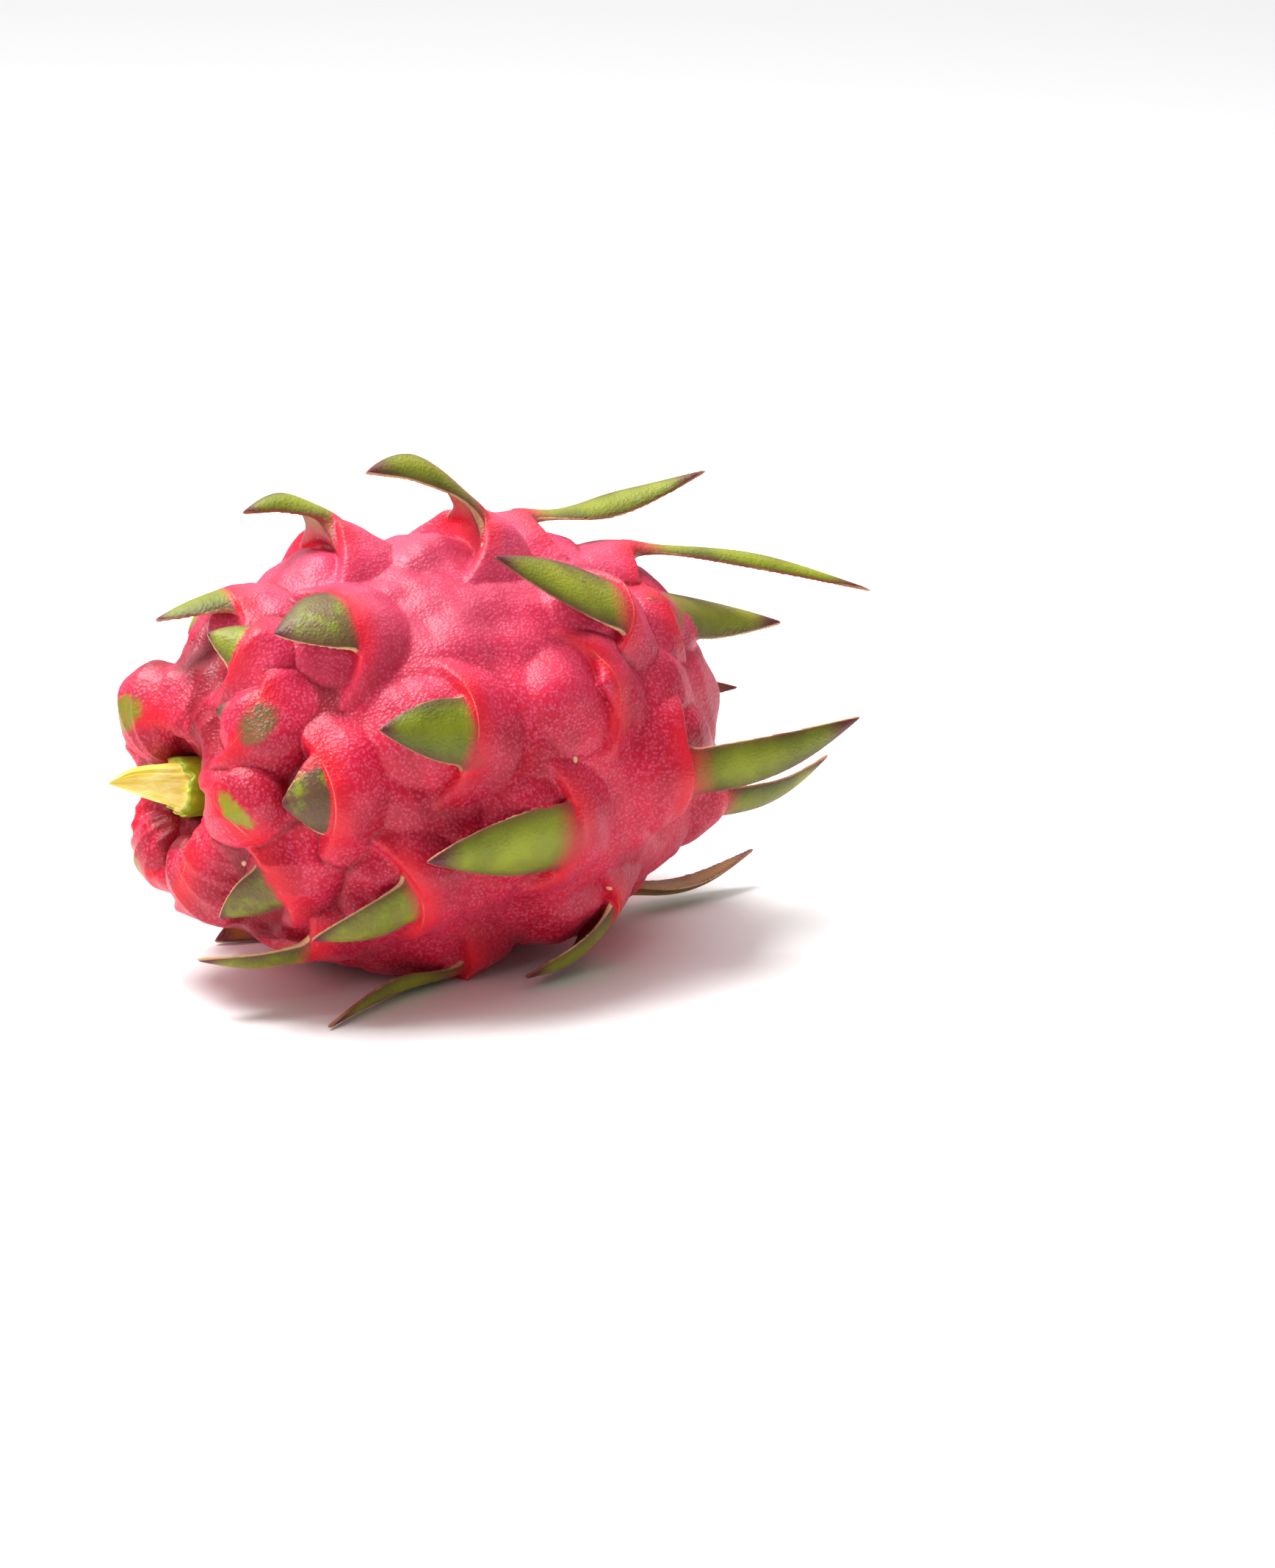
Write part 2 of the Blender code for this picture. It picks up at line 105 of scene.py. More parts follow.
def soft_light(name, place, size, power):
    """One square softbox that faces the fruit."""
    light_data = bpy.data.lights.new(name, "AREA")
    light_data.size = size
    light_data.energy = power
    light = bpy.data.objects.new(name, light_data)
    bpy.context.scene.collection.objects.link(light)
    light.location = place
    light.rotation_euler = (FRUIT_MIDDLE - Vector(place)).to_track_quat("-Z", "Y").to_euler()


for light_name, light_settings in SOFT_LIGHTS.items():
    soft_light(light_name, *light_settings)
bpy.context.scene.view_settings.view_transform = "Standard"


# The fruit: a fleshy egg of a body with 38 leafy scales, grown in one piece. Each scale is a hood of skin
# that rises to a crescent crest, with a puffed pillow of skin beside it, and ends in a pointed green blade.

HALF_LENGTH = 62.0 * MM
RADIUS = 42.0 * MM
BLUNTNESS = 0.90
AXIS_HEIGHT = 42.0 * MM
BODY_MIDDLE = Vector((-9.8 * MM, -1.2 * MM, 0))
STEM_HOLLOW = (12.5 * MM, 11.5 * MM)
FLOWER_HOLLOW = (8.0 * MM, 12.0 * MM)
SCALE_COUNT = 38
FIRST_SCALE = -60.0 * MM
SCALE_REACH = 115.0 * MM
FIRST_ANGLE = math.radians(18.0)
SCALE_TURN = math.radians(-137.0)
GROWTH_SEED = 5
STEM_HOLE = 6.8 * MM
STEM_HOLE_FLOOR = -45.2 * MM
FLOWER_HOLE = 7.8 * MM
FLOWER_HOLE_FLOOR = 49.7 * MM
ROOT_DEPTH = 5.0 * MM
ROOT_THICKNESS = 3.4 * MM
STEEP_ROOT = 5.0 * MM
ROOT_SINK = 0.45
ROOT_SPAN = 0.72
NECK = 2.5 * MM
LEAF_START = 0.36
BLADE_THICKNESS = 1.4 * MM
TIP_THICKNESS = 0.9 * MM
BODY_ROUNDNESS = 1 / (2 * RADIUS)
FLOOR_GAP = 0.4 * MM
BODY_ROWS = 300
BODY_COLUMNS = 440
BLADE_SECTIONS = 44
BLADE_SIDES = 28
CLOSER_AT_ROOT = 1.2
SKIN_VOXEL = 0.3 * MM
SKIN_TRIANGLES = 190000


def body_points(theta, psi):
    """Points of the smooth body: theta runs from the stem pole to the flower pole, psi from the top to -Y."""
    ring = RADIUS * np.sin(theta) ** BLUNTNESS
    x = -HALF_LENGTH * np.cos(theta)
    stem_end = theta < math.pi / 2
    depth = np.where(stem_end, STEM_HOLLOW[0], -FLOWER_HOLLOW[0])
    width = np.where(stem_end, STEM_HOLLOW[1], FLOWER_HOLLOW[1])
    x = x + depth * np.exp(-((ring / width) ** 2))
    return np.stack([x, -ring * np.sin(psi), ring * np.cos(psi)], axis=-1)


def body_normals(theta, psi):
    """Outward normals of the smooth body, from small steps along both directions."""
    step = 1e-4
    theta = np.clip(theta, 2 * step, math.pi - 2 * step)
    along = body_points(theta + step, psi) - body_points(theta - step, psi)
    around = body_points(theta, psi + step) - body_points(theta, psi - step)
    normals = np.cross(around, along)
    return normals / np.linalg.norm(normals, axis=-1, keepdims=True)


class Scale:
    """One leafy scale. Ahead is where its blade points, across is its width, out is out of the skin."""

    def __init__(self, place, angle, heading, **sizes):
        theta = np.array(math.acos(max(-0.98, min(0.98, -place / HALF_LENGTH))))
        angle = np.array(angle)
        self.seat = body_points(theta, angle)
        self.out = body_normals(theta, angle)
        stemward = body_points(theta - 1e-3, angle) - self.seat
        stemward = stemward / np.linalg.norm(stemward)
        sideways = np.cross(self.out, stemward)
        self.ahead = stemward * math.cos(heading) + sideways * math.sin(heading)
        self.across = np.cross(self.out, self.ahead)
        self.span = sizes["span"]
        self.crest = sizes["crest"]
        self.length = sizes["length"]
        self.width = sizes["width"]
        self.rise = math.radians(sizes["rise"])
        self.fall = math.radians(sizes["fall"])
        self.sway = math.radians(sizes["sway"])
        self.roll = math.radians(sizes["roll"])
        self.root = ROOT_THICKNESS + STEEP_ROOT * max(0, sizes["rise"] / 45 - 1)
        self.cup = sizes["cup"]
        self.lobe = sizes["lobe"]
        self.dull = sizes["dull"]
        self.cap = sizes["cap"]


# The rule's own sizes, in mm and degrees. Span is half a scale's width, and width is half its leaf's.
FULL_SPAN = 16.5
FULL_CREST = 6.2
LOBE_HEIGHT = 7.5
SIDE_LEAF = dict(length=24, width=6.6, rise=26, fall=-8)
ERECT_LEAF = dict(length=44, width=5.0, rise=44, fall=14)
SHORTER_BY_STEM = 16

# How grey and brown the pressed leaves of some scales have gone, and which end in a blunt green cap.
DULLNESS = {0: 0.3, 1: 0.5, 2: 0.1, 4: 0.5, 5: 0.9, 7: 0.6, 10: 0.9, 12: 0.4, 13: 0.6, 15: 0.4}
CAP_SIZE = {1: 1, 2: 0.5, 3: 1, 5: 1}

# What the seen scales do differently from the rule. Place is along the fruit and turn is round it, from the
# rule's own seat; heading 0 points at the stem.
SEEN = {
    0: dict(place=15, turn=4, crest=5, length=9, width=4.5, rise=30, fall=9, heading=-60, lobe=0),
    1: dict(turn=-27, crest=5.5, length=6, rise=0, fall=-40, lobe=6),
    2: dict(place=2, turn=-17, crest=5, length=8, width=3.5, rise=0, fall=-19, heading=44),
    3: dict(place=-5, turn=-1, crest=6, length=6, width=4.5, rise=5, fall=-42, heading=-10, lobe=8),
    4: dict(place=-6, turn=-33, crest=5.3, length=8, width=4, rise=0, fall=-28, heading=30),
    5: dict(place=-1, turn=-2, crest=4.6, length=9, width=4.5, rise=5, fall=-15, heading=-50),
    6: dict(length=5, rise=0, fall=-20),
    7: dict(place=-4, turn=-24, crest=5, length=15, width=5, rise=20, fall=0, heading=40, sway=10),
    8: dict(place=0, turn=-8, crest=6.3, length=16.5, width=5, rise=30, fall=7, heading=-3, sway=-7),
    9: dict(length=9),
    10: dict(place=-5, turn=-7, crest=5, length=11, width=7.5, rise=34, fall=-12, heading=5, sway=0),
    11: dict(length=8, rise=10, fall=-30),
    12: dict(place=-9, turn=-29, crest=5, length=24.5, width=4, rise=34, fall=5, heading=5, sway=2),
    13: dict(place=-2, turn=-7, crest=6, length=17, width=8, rise=30, fall=-12, heading=0, sway=-4),
    15: dict(place=-4, turn=-9, crest=5, length=24, width=5.2, rise=30, fall=-8, heading=20, sway=0),
    16: dict(
        place=-1, turn=6, crest=9.7, length=22.5, width=4.2,
        rise=69, fall=-5, heading=-1, sway=0, roll=35,
    ),
    18: dict(place=-3, turn=-2, crest=5.5, length=21.5, width=6.6, rise=25, fall=-8, heading=-12, sway=5),
    20: dict(
        place=-2, turn=-5, crest=6.5, length=42, width=4,
        rise=27, fall=17, heading=-7, sway=-15, roll=-30,
    ),
    21: dict(
        place=8, turn=-14, crest=9.3, length=36, width=5,
        rise=52, fall=-2, heading=-6, sway=30, roll=35,
    ),
    23: dict(place=1, turn=-6, crest=5.7, length=36, width=7.4, rise=11, fall=-10, heading=-8, sway=10),
    24: dict(
        place=13, turn=22, crest=7.5, length=42, width=4.6,
        rise=12, fall=27, heading=168, sway=-12, roll=-40,
    ),
    26: dict(place=3, turn=6, crest=4.5, length=4, width=2.2, rise=25, fall=-5),
    29: dict(
        place=14, turn=1, crest=7.8, length=54, width=3.4,
        rise=26, fall=10, heading=154, sway=0, roll=-30,
    ),
    32: dict(length=16, rise=10, fall=-10),
    34: dict(place=-15, turn=1, crest=5.8, length=36, width=7, rise=8, fall=0, heading=-13, sway=0, cup=0.15),
    37: dict(
        place=-14, turn=46, crest=5, length=42, width=6.5,
        rise=0, fall=10, heading=195, sway=-20, cup=0.4,
    ),
}


def rule_of_growth(number, draw):
    """A scale's sizes by where it grows: blunt by the stem, bent back on the sides, erect by the flower."""
    place = FIRST_SCALE + SCALE_REACH * (number / (SCALE_COUNT - 1)) ** 1.15
    roundness = math.sqrt(max(0.05, 1 - (place / HALF_LENGTH) ** 2))
    size = 0.6 + 0.4 * roundness
    by_stem = max(0.0, -place / HALF_LENGTH - 0.35) / 0.65
    erect = place > 0.5 * HALF_LENGTH
    leaf = ERECT_LEAF if erect else SIDE_LEAF
    return dict(
        seat=place,
        place=draw.uniform(-1.2, 1.2),
        turn=draw.uniform(-4, 4),
        heading=(180 if erect else 0) + draw.uniform(-14, 14),
        span=FULL_SPAN * size,
        crest=FULL_CREST * size + draw.uniform(-0.4, 0.6),
        length=(leaf["length"] - SHORTER_BY_STEM * by_stem) * draw.uniform(0.85, 1.12),
        width=leaf["width"] * size + draw.uniform(-0.4, 0.6),
        rise=leaf["rise"] + draw.uniform(-5, 8),
        fall=leaf["fall"] + draw.uniform(-6, 6),
        sway=draw.uniform(-14, 14),
        roll=0,
        cup=draw.uniform(0.2, 0.4),
        lobe=LOBE_HEIGHT * by_stem,
        dull=DULLNESS.get(number, 0.0),
        cap=CAP_SIZE.get(number, 0.0),
    )


def make_scales():
    """All scales, from the stem to the flower, each a fixed turn from the last, as the fruit grows them."""
    draw = random.Random(GROWTH_SEED)
    scales = []
    for number in range(SCALE_COUNT):
        sizes = rule_of_growth(number, draw)
        sizes.update(SEEN.get(number, {}))
        for name in ("span", "crest", "length", "width", "lobe"):
            sizes[name] *= MM
        place = sizes.pop("seat") + sizes.pop("place") * MM
        angle = FIRST_ANGLE + number * SCALE_TURN + math.radians(sizes.pop("turn"))
        scales.append(Scale(place, angle, math.radians(sizes.pop("heading")), **sizes))
    return scales


CRESCENT = 28.0
RAMP = 13.0 * MM
DROP = 2.0 * MM
SIDE_DROP = 5.0 * MM
FILL = 1.2 * MM
STEM_SINK = 5.0 * MM
VALLEY_SINK = 1.6
SINK_STARTS = -28.0 * MM
SINK_LENGTH = 22.0 * MM
PILLOW_AHEAD = 9.5 * MM
PILLOW_RADIUS = 13.2 * MM
PILLOW_HEIGHT = 3.8 * MM
SOFTNESS = 0.2 * MM
CREASE_DEPTH = 0.5 * MM
CREASE_WIDTH = 0.45 * MM
LOBE_BACK = 1.0 * MM
LOBE_HALF_LENGTH = 9.0 * MM
LOBE_HALF_WIDTH = 7.5 * MM
SAME_SIDE = 20.0 * MM
REACH = 30.0 * MM
PLEAT_COUNT = 13
PLEAT_DEPTH = 0.6 * MM
PLEATS_START = -24.0 * MM
PLEATS_LENGTH = 22.0 * MM
# Wavelength and depth of the small swellings, in mm, from the broadest to the finest.
SWELLINGS = ((26, 0.35), (17, 0.3), (11, 0.2), (7, 0.12), (4.5, 0.07))
WAVES_OF_EACH = 3
SWELLING_SEED = 11


def smooth_step(value):
    value = np.clip(value, 0, 1)
    return value * value * (3 - 2 * value)


def stem_sink(points):
    """How deep the skin lies between the lobes round the stem."""
    return STEM_SINK * smooth_step((SINK_STARTS - points[:, 0]) / SINK_LENGTH)


def scale_fields(scale, points):
    """One scale's relief at each point: its height, the distance past its crest, and its span's share."""
    offset = points - scale.seat
    ahead = offset @ scale.ahead
    across = offset @ scale.across
    near = (offset @ scale.out > -SAME_SIDE) & (np.hypot(ahead, across) < REACH)
    size = scale.span / (FULL_SPAN * MM)
    from_crest = ahead - CRESCENT * across**2
    span = np.clip(1 - (across / scale.span) ** 2, 0, 1)
    climb = np.clip(1 + from_crest / (RAMP * size), 0, 1)
    ramp = climb * (1.6 - 0.6 * climb)
    drop = 1 - smooth_step(from_crest / (DROP + SIDE_DROP * (1 - span)))
    ridge = scale.crest * span * np.where(from_crest < 0, ramp, drop)
    from_pillow = np.hypot(ahead - PILLOW_AHEAD * size, across) / (PILLOW_RADIUS * size)
    pillow = PILLOW_HEIGHT * (1 - from_pillow**2) - stem_sink(points)
    ball = 1 - ((ahead + LOBE_BACK) / LOBE_HALF_LENGTH) ** 2 - (across / LOBE_HALF_WIDTH) ** 2
    lobe = scale.lobe * np.sqrt(np.clip(ball, 0, 1))
    height = np.where(near, np.maximum(np.maximum(ridge, pillow), lobe), -1.0)
    return height, from_crest, np.abs(across) / scale.span


def relief(scales, points):
    """Height of all the scales together. A soft maximum leaves a crease where two of them meet."""
    fill = FILL - VALLEY_SINK * stem_sink(points)
    heights = np.stack([scale_fields(scale, points)[0] for scale in scales] + [fill])
    highest = heights.max(axis=0)
    soft = highest + SOFTNESS * np.log(np.exp((heights - highest) / SOFTNESS).sum(axis=0))
    second = np.sort(heights, axis=0)[-2]
    return soft - CREASE_DEPTH * np.exp((second - highest) / CREASE_WIDTH)


def grown_unevenness(points):
    """The small swellings that no two fruits share, and the pleats that gather the skin towards the stem."""
    draw = random.Random(SWELLING_SEED)
    round_axis = np.arctan2(-points[:, 1], points[:, 2])
    gathered = smooth_step((PLEATS_START - points[:, 0]) / PLEATS_LENGTH)
    wander = 2.5 * np.sin(points[:, 0] / (9 * MM))
    pleats = np.sin(PLEAT_COUNT * round_axis + wander + 1.5 * np.sin(3 * round_axis))
    total = PLEAT_DEPTH * gathered * (1 - np.abs(pleats)) ** 1.5
    for wavelength, depth in SWELLINGS:
        for _ in range(WAVES_OF_EACH):
            direction = np.array([draw.gauss(0, 1) for _ in range(3)])
            direction = direction / np.linalg.norm(direction)
            phase = draw.uniform(0, 2 * math.pi)
            total += depth * MM * np.sin(points @ direction * 2 * math.pi / (wavelength * MM) + phase)
    return total


def stack_faces(rings, count):
    """Quads between rings of count points each, which follow one another in the point list."""
    ring, k = np.meshgrid(np.arange(rings - 1), np.arange(count), indexing="ij")
    following = (k + 1) % count
    here, ahead = ring * count, (ring + 1) * count
    corners = [here + k, here + following, ahead + following, ahead + k]
    return [tuple(face) for face in np.stack(corners, axis=-1).reshape(-1, 4).tolist()]


def ring_angle(radius):
    """The angle from a pole at which the smooth body has this radius."""
    return math.asin((radius / RADIUS) ** (1 / BLUNTNESS))


def new_object(name, points, faces):
    mesh = bpy.data.meshes.new(name)
    mesh.from_pydata(np.asarray(points).tolist(), [], faces)
    made = bmesh.new()
    made.from_mesh(mesh)
    bmesh.ops.recalc_face_normals(made, faces=made.faces)
    made.to_mesh(mesh)
    made.free()
    obj = bpy.data.objects.new(name, mesh)
    bpy.context.scene.collection.objects.link(obj)
    return obj


def body_mesh(scales):
    """The body with its relief, a plain socket at each end, and a flat spot at z = 0 where it rests."""
    theta = np.linspace(ring_angle(STEM_HOLE), math.pi - ring_angle(FLOWER_HOLE), BODY_ROWS)
    psi = np.linspace(0, 2 * math.pi, BODY_COLUMNS, endpoint=False)
    rows, columns = (grid.ravel() for grid in np.meshgrid(theta, psi, indexing="ij"))
    smooth = body_points(rows, columns)
    height = relief(scales, smooth) + grown_unevenness(smooth)
    points = (smooth + body_normals(rows, columns) * height[:, None]).reshape(BODY_ROWS, BODY_COLUMNS, 3)
    circle = np.stack([0 * psi, -np.sin(psi), np.cos(psi)], axis=-1)
    for row, hole, foot in ((0, STEM_HOLE, STEM_HOLE_FLOOR), (-1, FLOWER_HOLE, FLOWER_HOLE_FLOOR)):
        points[row, :, 1:] = circle[:, 1:] * hole
        socket_floor = circle * hole + np.array([foot, 0, 0])
        points = np.insert(points, 0 if row == 0 else len(points), socket_floor, axis=0)
    rings = len(points)
    centres = [points[0].mean(axis=0), points[-1].mean(axis=0)]
    points = np.concatenate([points.reshape(-1, 3), centres])
    points[:, 2] = np.maximum(points[:, 2] + AXIS_HEIGHT, 0)
    faces = stack_faces(rings, BODY_COLUMNS)
    last = (rings - 1) * BODY_COLUMNS
    for k in range(BODY_COLUMNS):
        following = (k + 1) % BODY_COLUMNS
        faces.append((rings * BODY_COLUMNS, following, k))
        faces.append((rings * BODY_COLUMNS + 1, last + k, last + following))
    return new_object("fruit_skin", points, faces)


def blade_midline(scale, distances):
    """Points and directions of the blade's midline. Distance 0 is the crest."""
    share = np.clip(distances / scale.length, 0, 1)
    slope = scale.rise + (scale.fall - scale.rise) * smooth_step(share * 1.15)
    swing = scale.sway * share
    ahead = scale.ahead * np.cos(swing)[:, None] + scale.across * np.sin(swing)[:, None]
    across = scale.across * np.cos(swing)[:, None] - scale.ahead * np.sin(swing)[:, None]
    forward = ahead * np.cos(slope)[:, None] + scale.out * np.sin(slope)[:, None]
    above = scale.out * np.cos(slope)[:, None] - ahead * np.sin(slope)[:, None]
    roll = scale.roll * smooth_step((share - 0.1) * 2)[:, None]
    rolled = across * np.cos(roll) - above * np.sin(roll)
    above = above * np.cos(roll) + across * np.sin(roll)
    steps = np.diff(distances, prepend=0)[:, None]
    steps[:1] = 0
    crest = scale.seat + scale.out * (scale.crest - scale.root / 2)
    line = crest + np.cumsum(forward * steps, axis=0)
    return line, rolled, above


def blade_widths(scale, distances):
    """Half-width of the blade, share of the neck and thickness, at each distance from the crest."""
    free = np.clip(distances / scale.length, 0, 1)
    neck = np.exp(-(((distances + NECK / 2) / NECK) ** 2))
    leaf = scale.width * np.sin(math.pi * (LEAF_START + (1 - LEAF_START) * free)) ** 0.85
    half_width = leaf + np.maximum(ROOT_SPAN * scale.span - leaf, 0) * neck
    root = np.exp(-((distances / (2 * NECK)) ** 2))
    thickness = BLADE_THICKNESS + (TIP_THICKNESS - BLADE_THICKNESS) * free
    thickness = thickness + (scale.root - BLADE_THICKNESS) * root
    return half_width, neck, thickness


def root_bend(scale, reach, neck):
    """How the blade's root leaves its flat section, ahead and out, so that it follows the crest."""
    ahead = CRESCENT * reach**2 * neck
    out = -(BODY_ROUNDNESS + scale.crest / scale.span**2) * reach**2 * neck
    return ahead[..., None] * scale.ahead + out[..., None] * scale.out


def leaf_cup(scale, reach, half_width, neck):
    """How far the sides of the free blade hang below its midline."""
    return (1 - neck) * scale.cup * reach**2 / np.maximum(half_width, 0.3 * MM)


def blade_points(scale, distances):
    """Cross-sections of one blade: a wide root along the crest, a neck, and a lance-shaped leaf."""
    turn = np.linspace(0, 2 * math.pi, BLADE_SIDES, endpoint=False)
    side = np.cos(turn)
    face = np.sign(np.sin(turn)) * np.abs(np.sin(turn)) ** 0.4
    line, across, above = blade_midline(scale, distances)
    half_width, neck, thickness = (values[:, None] for values in blade_widths(scale, distances))
    reach = side * half_width
    lift = face * thickness / 2 * (1 - 0.35 * side**2) - leaf_cup(scale, reach, half_width, neck)
    return (
        line[:, None, :]
        + across[:, None, :] * reach[..., None]
        + above[:, None, :] * lift[..., None]
        + root_bend(scale, reach, neck)
    )


def press_on_floor(sections):
    """Raises each cross-section that would pass below the floor, and gives how far each was raised."""
    raised = np.maximum(FLOOR_GAP - sections[..., 2].min(axis=1), 0)
    sections[..., 2] += raised[:, None]
    return raised


def blade_mesh(scale, name):
    """One blade as a closed solid. Where it would pass below the floor it is pressed up on it."""
    distances = np.linspace(0, 1, BLADE_SECTIONS + 1) ** CLOSER_AT_ROOT * scale.length
    sections = blade_points(scale, distances)
    buried = sections[0] - scale.ahead * ROOT_DEPTH - scale.out * (ROOT_SINK * scale.crest)
    tip = sections[-1].mean(axis=0)
    sections = np.concatenate([buried[None], sections[:-1]])
    sections[..., 2] += AXIS_HEIGHT
    tip[2] = max(tip[2] + AXIS_HEIGHT, FLOOR_GAP + TIP_THICKNESS / 2)
    press_on_floor(sections)
    rings = len(sections)
    faces = stack_faces(rings, BLADE_SIDES)
    faces.append(tuple(range(BLADE_SIDES)))
    last = (rings - 1) * BLADE_SIDES
    for k in range(BLADE_SIDES):
        faces.append((last + k, last + (k + 1) % BLADE_SIDES, rings * BLADE_SIDES))
    points = np.concatenate([sections.reshape(-1, 3), tip[None]])
    return new_object(name, points, faces)


def finish_modifiers(obj):
    """Turns an object and its modifiers into a plain mesh."""
    graph = bpy.context.evaluated_depsgraph_get()
    finished = bpy.data.meshes.new_from_object(obj.evaluated_get(graph))
    obj.modifiers.clear()
    obj.data = finished


def fuse_and_even_out(obj, pieces):
    """Fuses the blades to the body, evens the mesh out, rounds the joins, and thins the triangles."""
    collection = bpy.data.collections.new("blades")
    bpy.context.scene.collection.children.link(collection)
    for piece in pieces:
        bpy.context.scene.collection.objects.unlink(piece)
        collection.objects.link(piece)
    union = obj.modifiers.new("union", "BOOLEAN")
    union.operation = "UNION"
    union.operand_type = "COLLECTION"
    union.collection = collection
    union.solver = "MANIFOLD"
    even = obj.modifiers.new("even", "REMESH")
    even.mode = "VOXEL"
    even.voxel_size = SKIN_VOXEL
    rounded = obj.modifiers.new("rounded", "SMOOTH")
    rounded.factor = 0.5
    rounded.iterations = 4
    finish_modifiers(obj)
    thinned = obj.modifiers.new("thinned", "DECIMATE")
    thinned.ratio = SKIN_TRIANGLES / sum(len(face.vertices) - 2 for face in obj.data.polygons)
    finish_modifiers(obj)
    for piece in pieces:
        bpy.data.objects.remove(piece)
    bpy.data.collections.remove(collection)


scales = make_scales()
fruit = body_mesh(scales)
body_corners = [vertex.co for vertex in fruit.data.vertices]
bare_body = BVHTree.FromPolygons(body_corners, [face.vertices for face in fruit.data.polygons])
fuse_and_even_out(fruit, [blade_mesh(scale, f"blade_{number}") for number, scale in enumerate(scales)])
points = np.empty(len(fruit.data.vertices) * 3)
fruit.data.vertices.foreach_get("co", points)
points = points.reshape(-1, 3)
points[:, 2] = np.maximum(points[:, 2], 0)
normals = np.empty(len(points) * 3)
fruit.data.vertex_normals.foreach_get("vector", normals)
normals = normals.reshape(-1, 3)


def point_attribute(mesh, name, columns):
    """Stores up to three numbers at each point of the mesh, for its material to read."""
    numbers = np.zeros((len(mesh.vertices), 3), np.float32)
    numbers[:, : len(columns)] = np.stack(columns, axis=-1)
    attribute = mesh.attributes.new(name, "FLOAT_VECTOR", "POINT")
    attribute.data.foreach_set("vector", numbers.ravel())


NUB_LENGTH = 4.5 * MM
CAP_AHEAD = -1.8 * MM
CAP_HALF_LENGTH = 4.2 * MM
CAP_HALF_WIDTH = 6.0 * MM
CREASE_SHADE = 0.5 * MM
VALLEY_SHADE = 0.4 * MM
LEAF_STEPS = 60
BESIDE_LEAF = 3.0 * MM
SIDE_SLACK = 0.6 * MM
FACE_SLACK = 0.4 * MM
PROUD_FROM = 0.25 * MM
PROUD_OVER = 0.5 * MM
CREST_UNIT = 10.0 * MM


def skin_fields(scales, points):
    """Which scale's skin each point is on, and where on it: what the colours follow."""
    centred = points - np.array([0, 0, AXIS_HEIGHT])
    fields = [scale_fields(scale, centred) for scale in scales]
    heights = np.stack([field[0] for field in fields])
    first = heights.argmax(axis=0)
    columns = np.arange(len(points))
    levels = np.sort(heights, axis=0)
    fill = FILL - VALLEY_SINK * stem_sink(centred)
    # Painted shade: how dark the skin is painted where two scales meet in a crease and where a scale meets
    # the fill between them.
    above_fill = smooth_step((levels[-1] - fill) / MM)
    by_fill = 0.4 * np.exp(-np.abs(levels[-1] - fill) / VALLEY_SHADE)
    crease = np.maximum(np.exp((levels[-2] - levels[-1]) / CREASE_SHADE) * above_fill, by_fill)
    crest = np.stack([field[1] for field in fields])[first, columns]
    span = np.stack([field[2] for field in fields])[first, columns]
    offset = centred - np.array([scale.seat for scale in scales])[first]
    ahead = np.einsum("ij,ij->i", offset, np.array([scale.ahead for scale in scales])[first])
    across = np.einsum("ij,ij->i", offset, np.array([scale.across for scale in scales])[first])
    cap_size = np.array([scale.cap for scale in scales])[first]
    cap = np.hypot((ahead - CAP_AHEAD) / (CAP_HALF_LENGTH * (0.1 + cap_size)), across / CAP_HALF_WIDTH)
    cap = (1 - smooth_step((cap - 0.55) / 0.6)) * (cap_size > 0)
    return first, crest, span, crease, cap


def leaf_fields(scales, points, normals, proud):
    """For each point: how far along a blade, across it, in from its edge, on it, under it, and which one."""
    share = np.zeros(len(points))
    side = np.zeros(len(points))
    edge = np.full(len(points), 5 * MM)
    on_blade = np.zeros(len(points))
    under = np.zeros(len(points))
    owner = np.zeros(len(points), int)
    for number, scale in enumerate(scales):
        if scale.length < NUB_LENGTH:
            continue
        distances = np.linspace(0, scale.length, LEAF_STEPS)
        line, across, above = blade_midline(scale, distances)
        sections = blade_points(scale, distances)
        sections[..., 2] += AXIS_HEIGHT
        raised = press_on_floor(sections)
        line = line + np.array([0, 0, AXIS_HEIGHT]) + raised[:, None] * np.array([0, 0, 1])
        reachable = blade_widths(scale, distances)[0].max() + BESIDE_LEAF
        low, high = line.min(axis=0) - reachable, line.max(axis=0) + reachable
        near = np.flatnonzero(np.all((points > low) & (points < high), axis=1))
        if not len(near):
            continue
        nearest = np.linalg.norm(points[near, None, :] - line[None], axis=2).argmin(axis=1)
        offset = points[near] - line[nearest]
        forward = np.cross(across[nearest], above[nearest])
        reach = np.einsum("ij,ij->i", offset, across[nearest])
        along = distances[nearest] + np.einsum("ij,ij->i", offset, forward)
        unbent = offset - root_bend(scale, reach, blade_widths(scale, along)[1])
        along = distances[nearest] + np.einsum("ij,ij->i", unbent, forward)
        wide, neck, thickness = blade_widths(scale, along)
        lift = np.einsum("ij,ij->i", unbent, above[nearest]) + leaf_cup(scale, reach, wide, neck)
        inside = (np.abs(reach) < wide + SIDE_SLACK) & (np.abs(lift) < thickness * 0.7 + FACE_SLACK)
        fade = np.where(inside, proud[near], 0)
        better = fade > on_blade[near]
        chosen = near[better]
        on_blade[chosen] = fade[better]
        share[chosen] = np.clip(along[better] / scale.length, 0, 1)
        side[chosen] = np.clip(reach[better] / wide[better], -1, 1)
        edge[chosen] = np.clip(wide[better] - np.abs(reach[better]), 0, 1)
        owner[chosen] = number
        facing = np.einsum("ij,ij->i", normals[near], above[nearest])
        under[chosen] = smooth_step(0.5 - 2 * facing[better])
    return share, side, edge, on_blade, under, owner


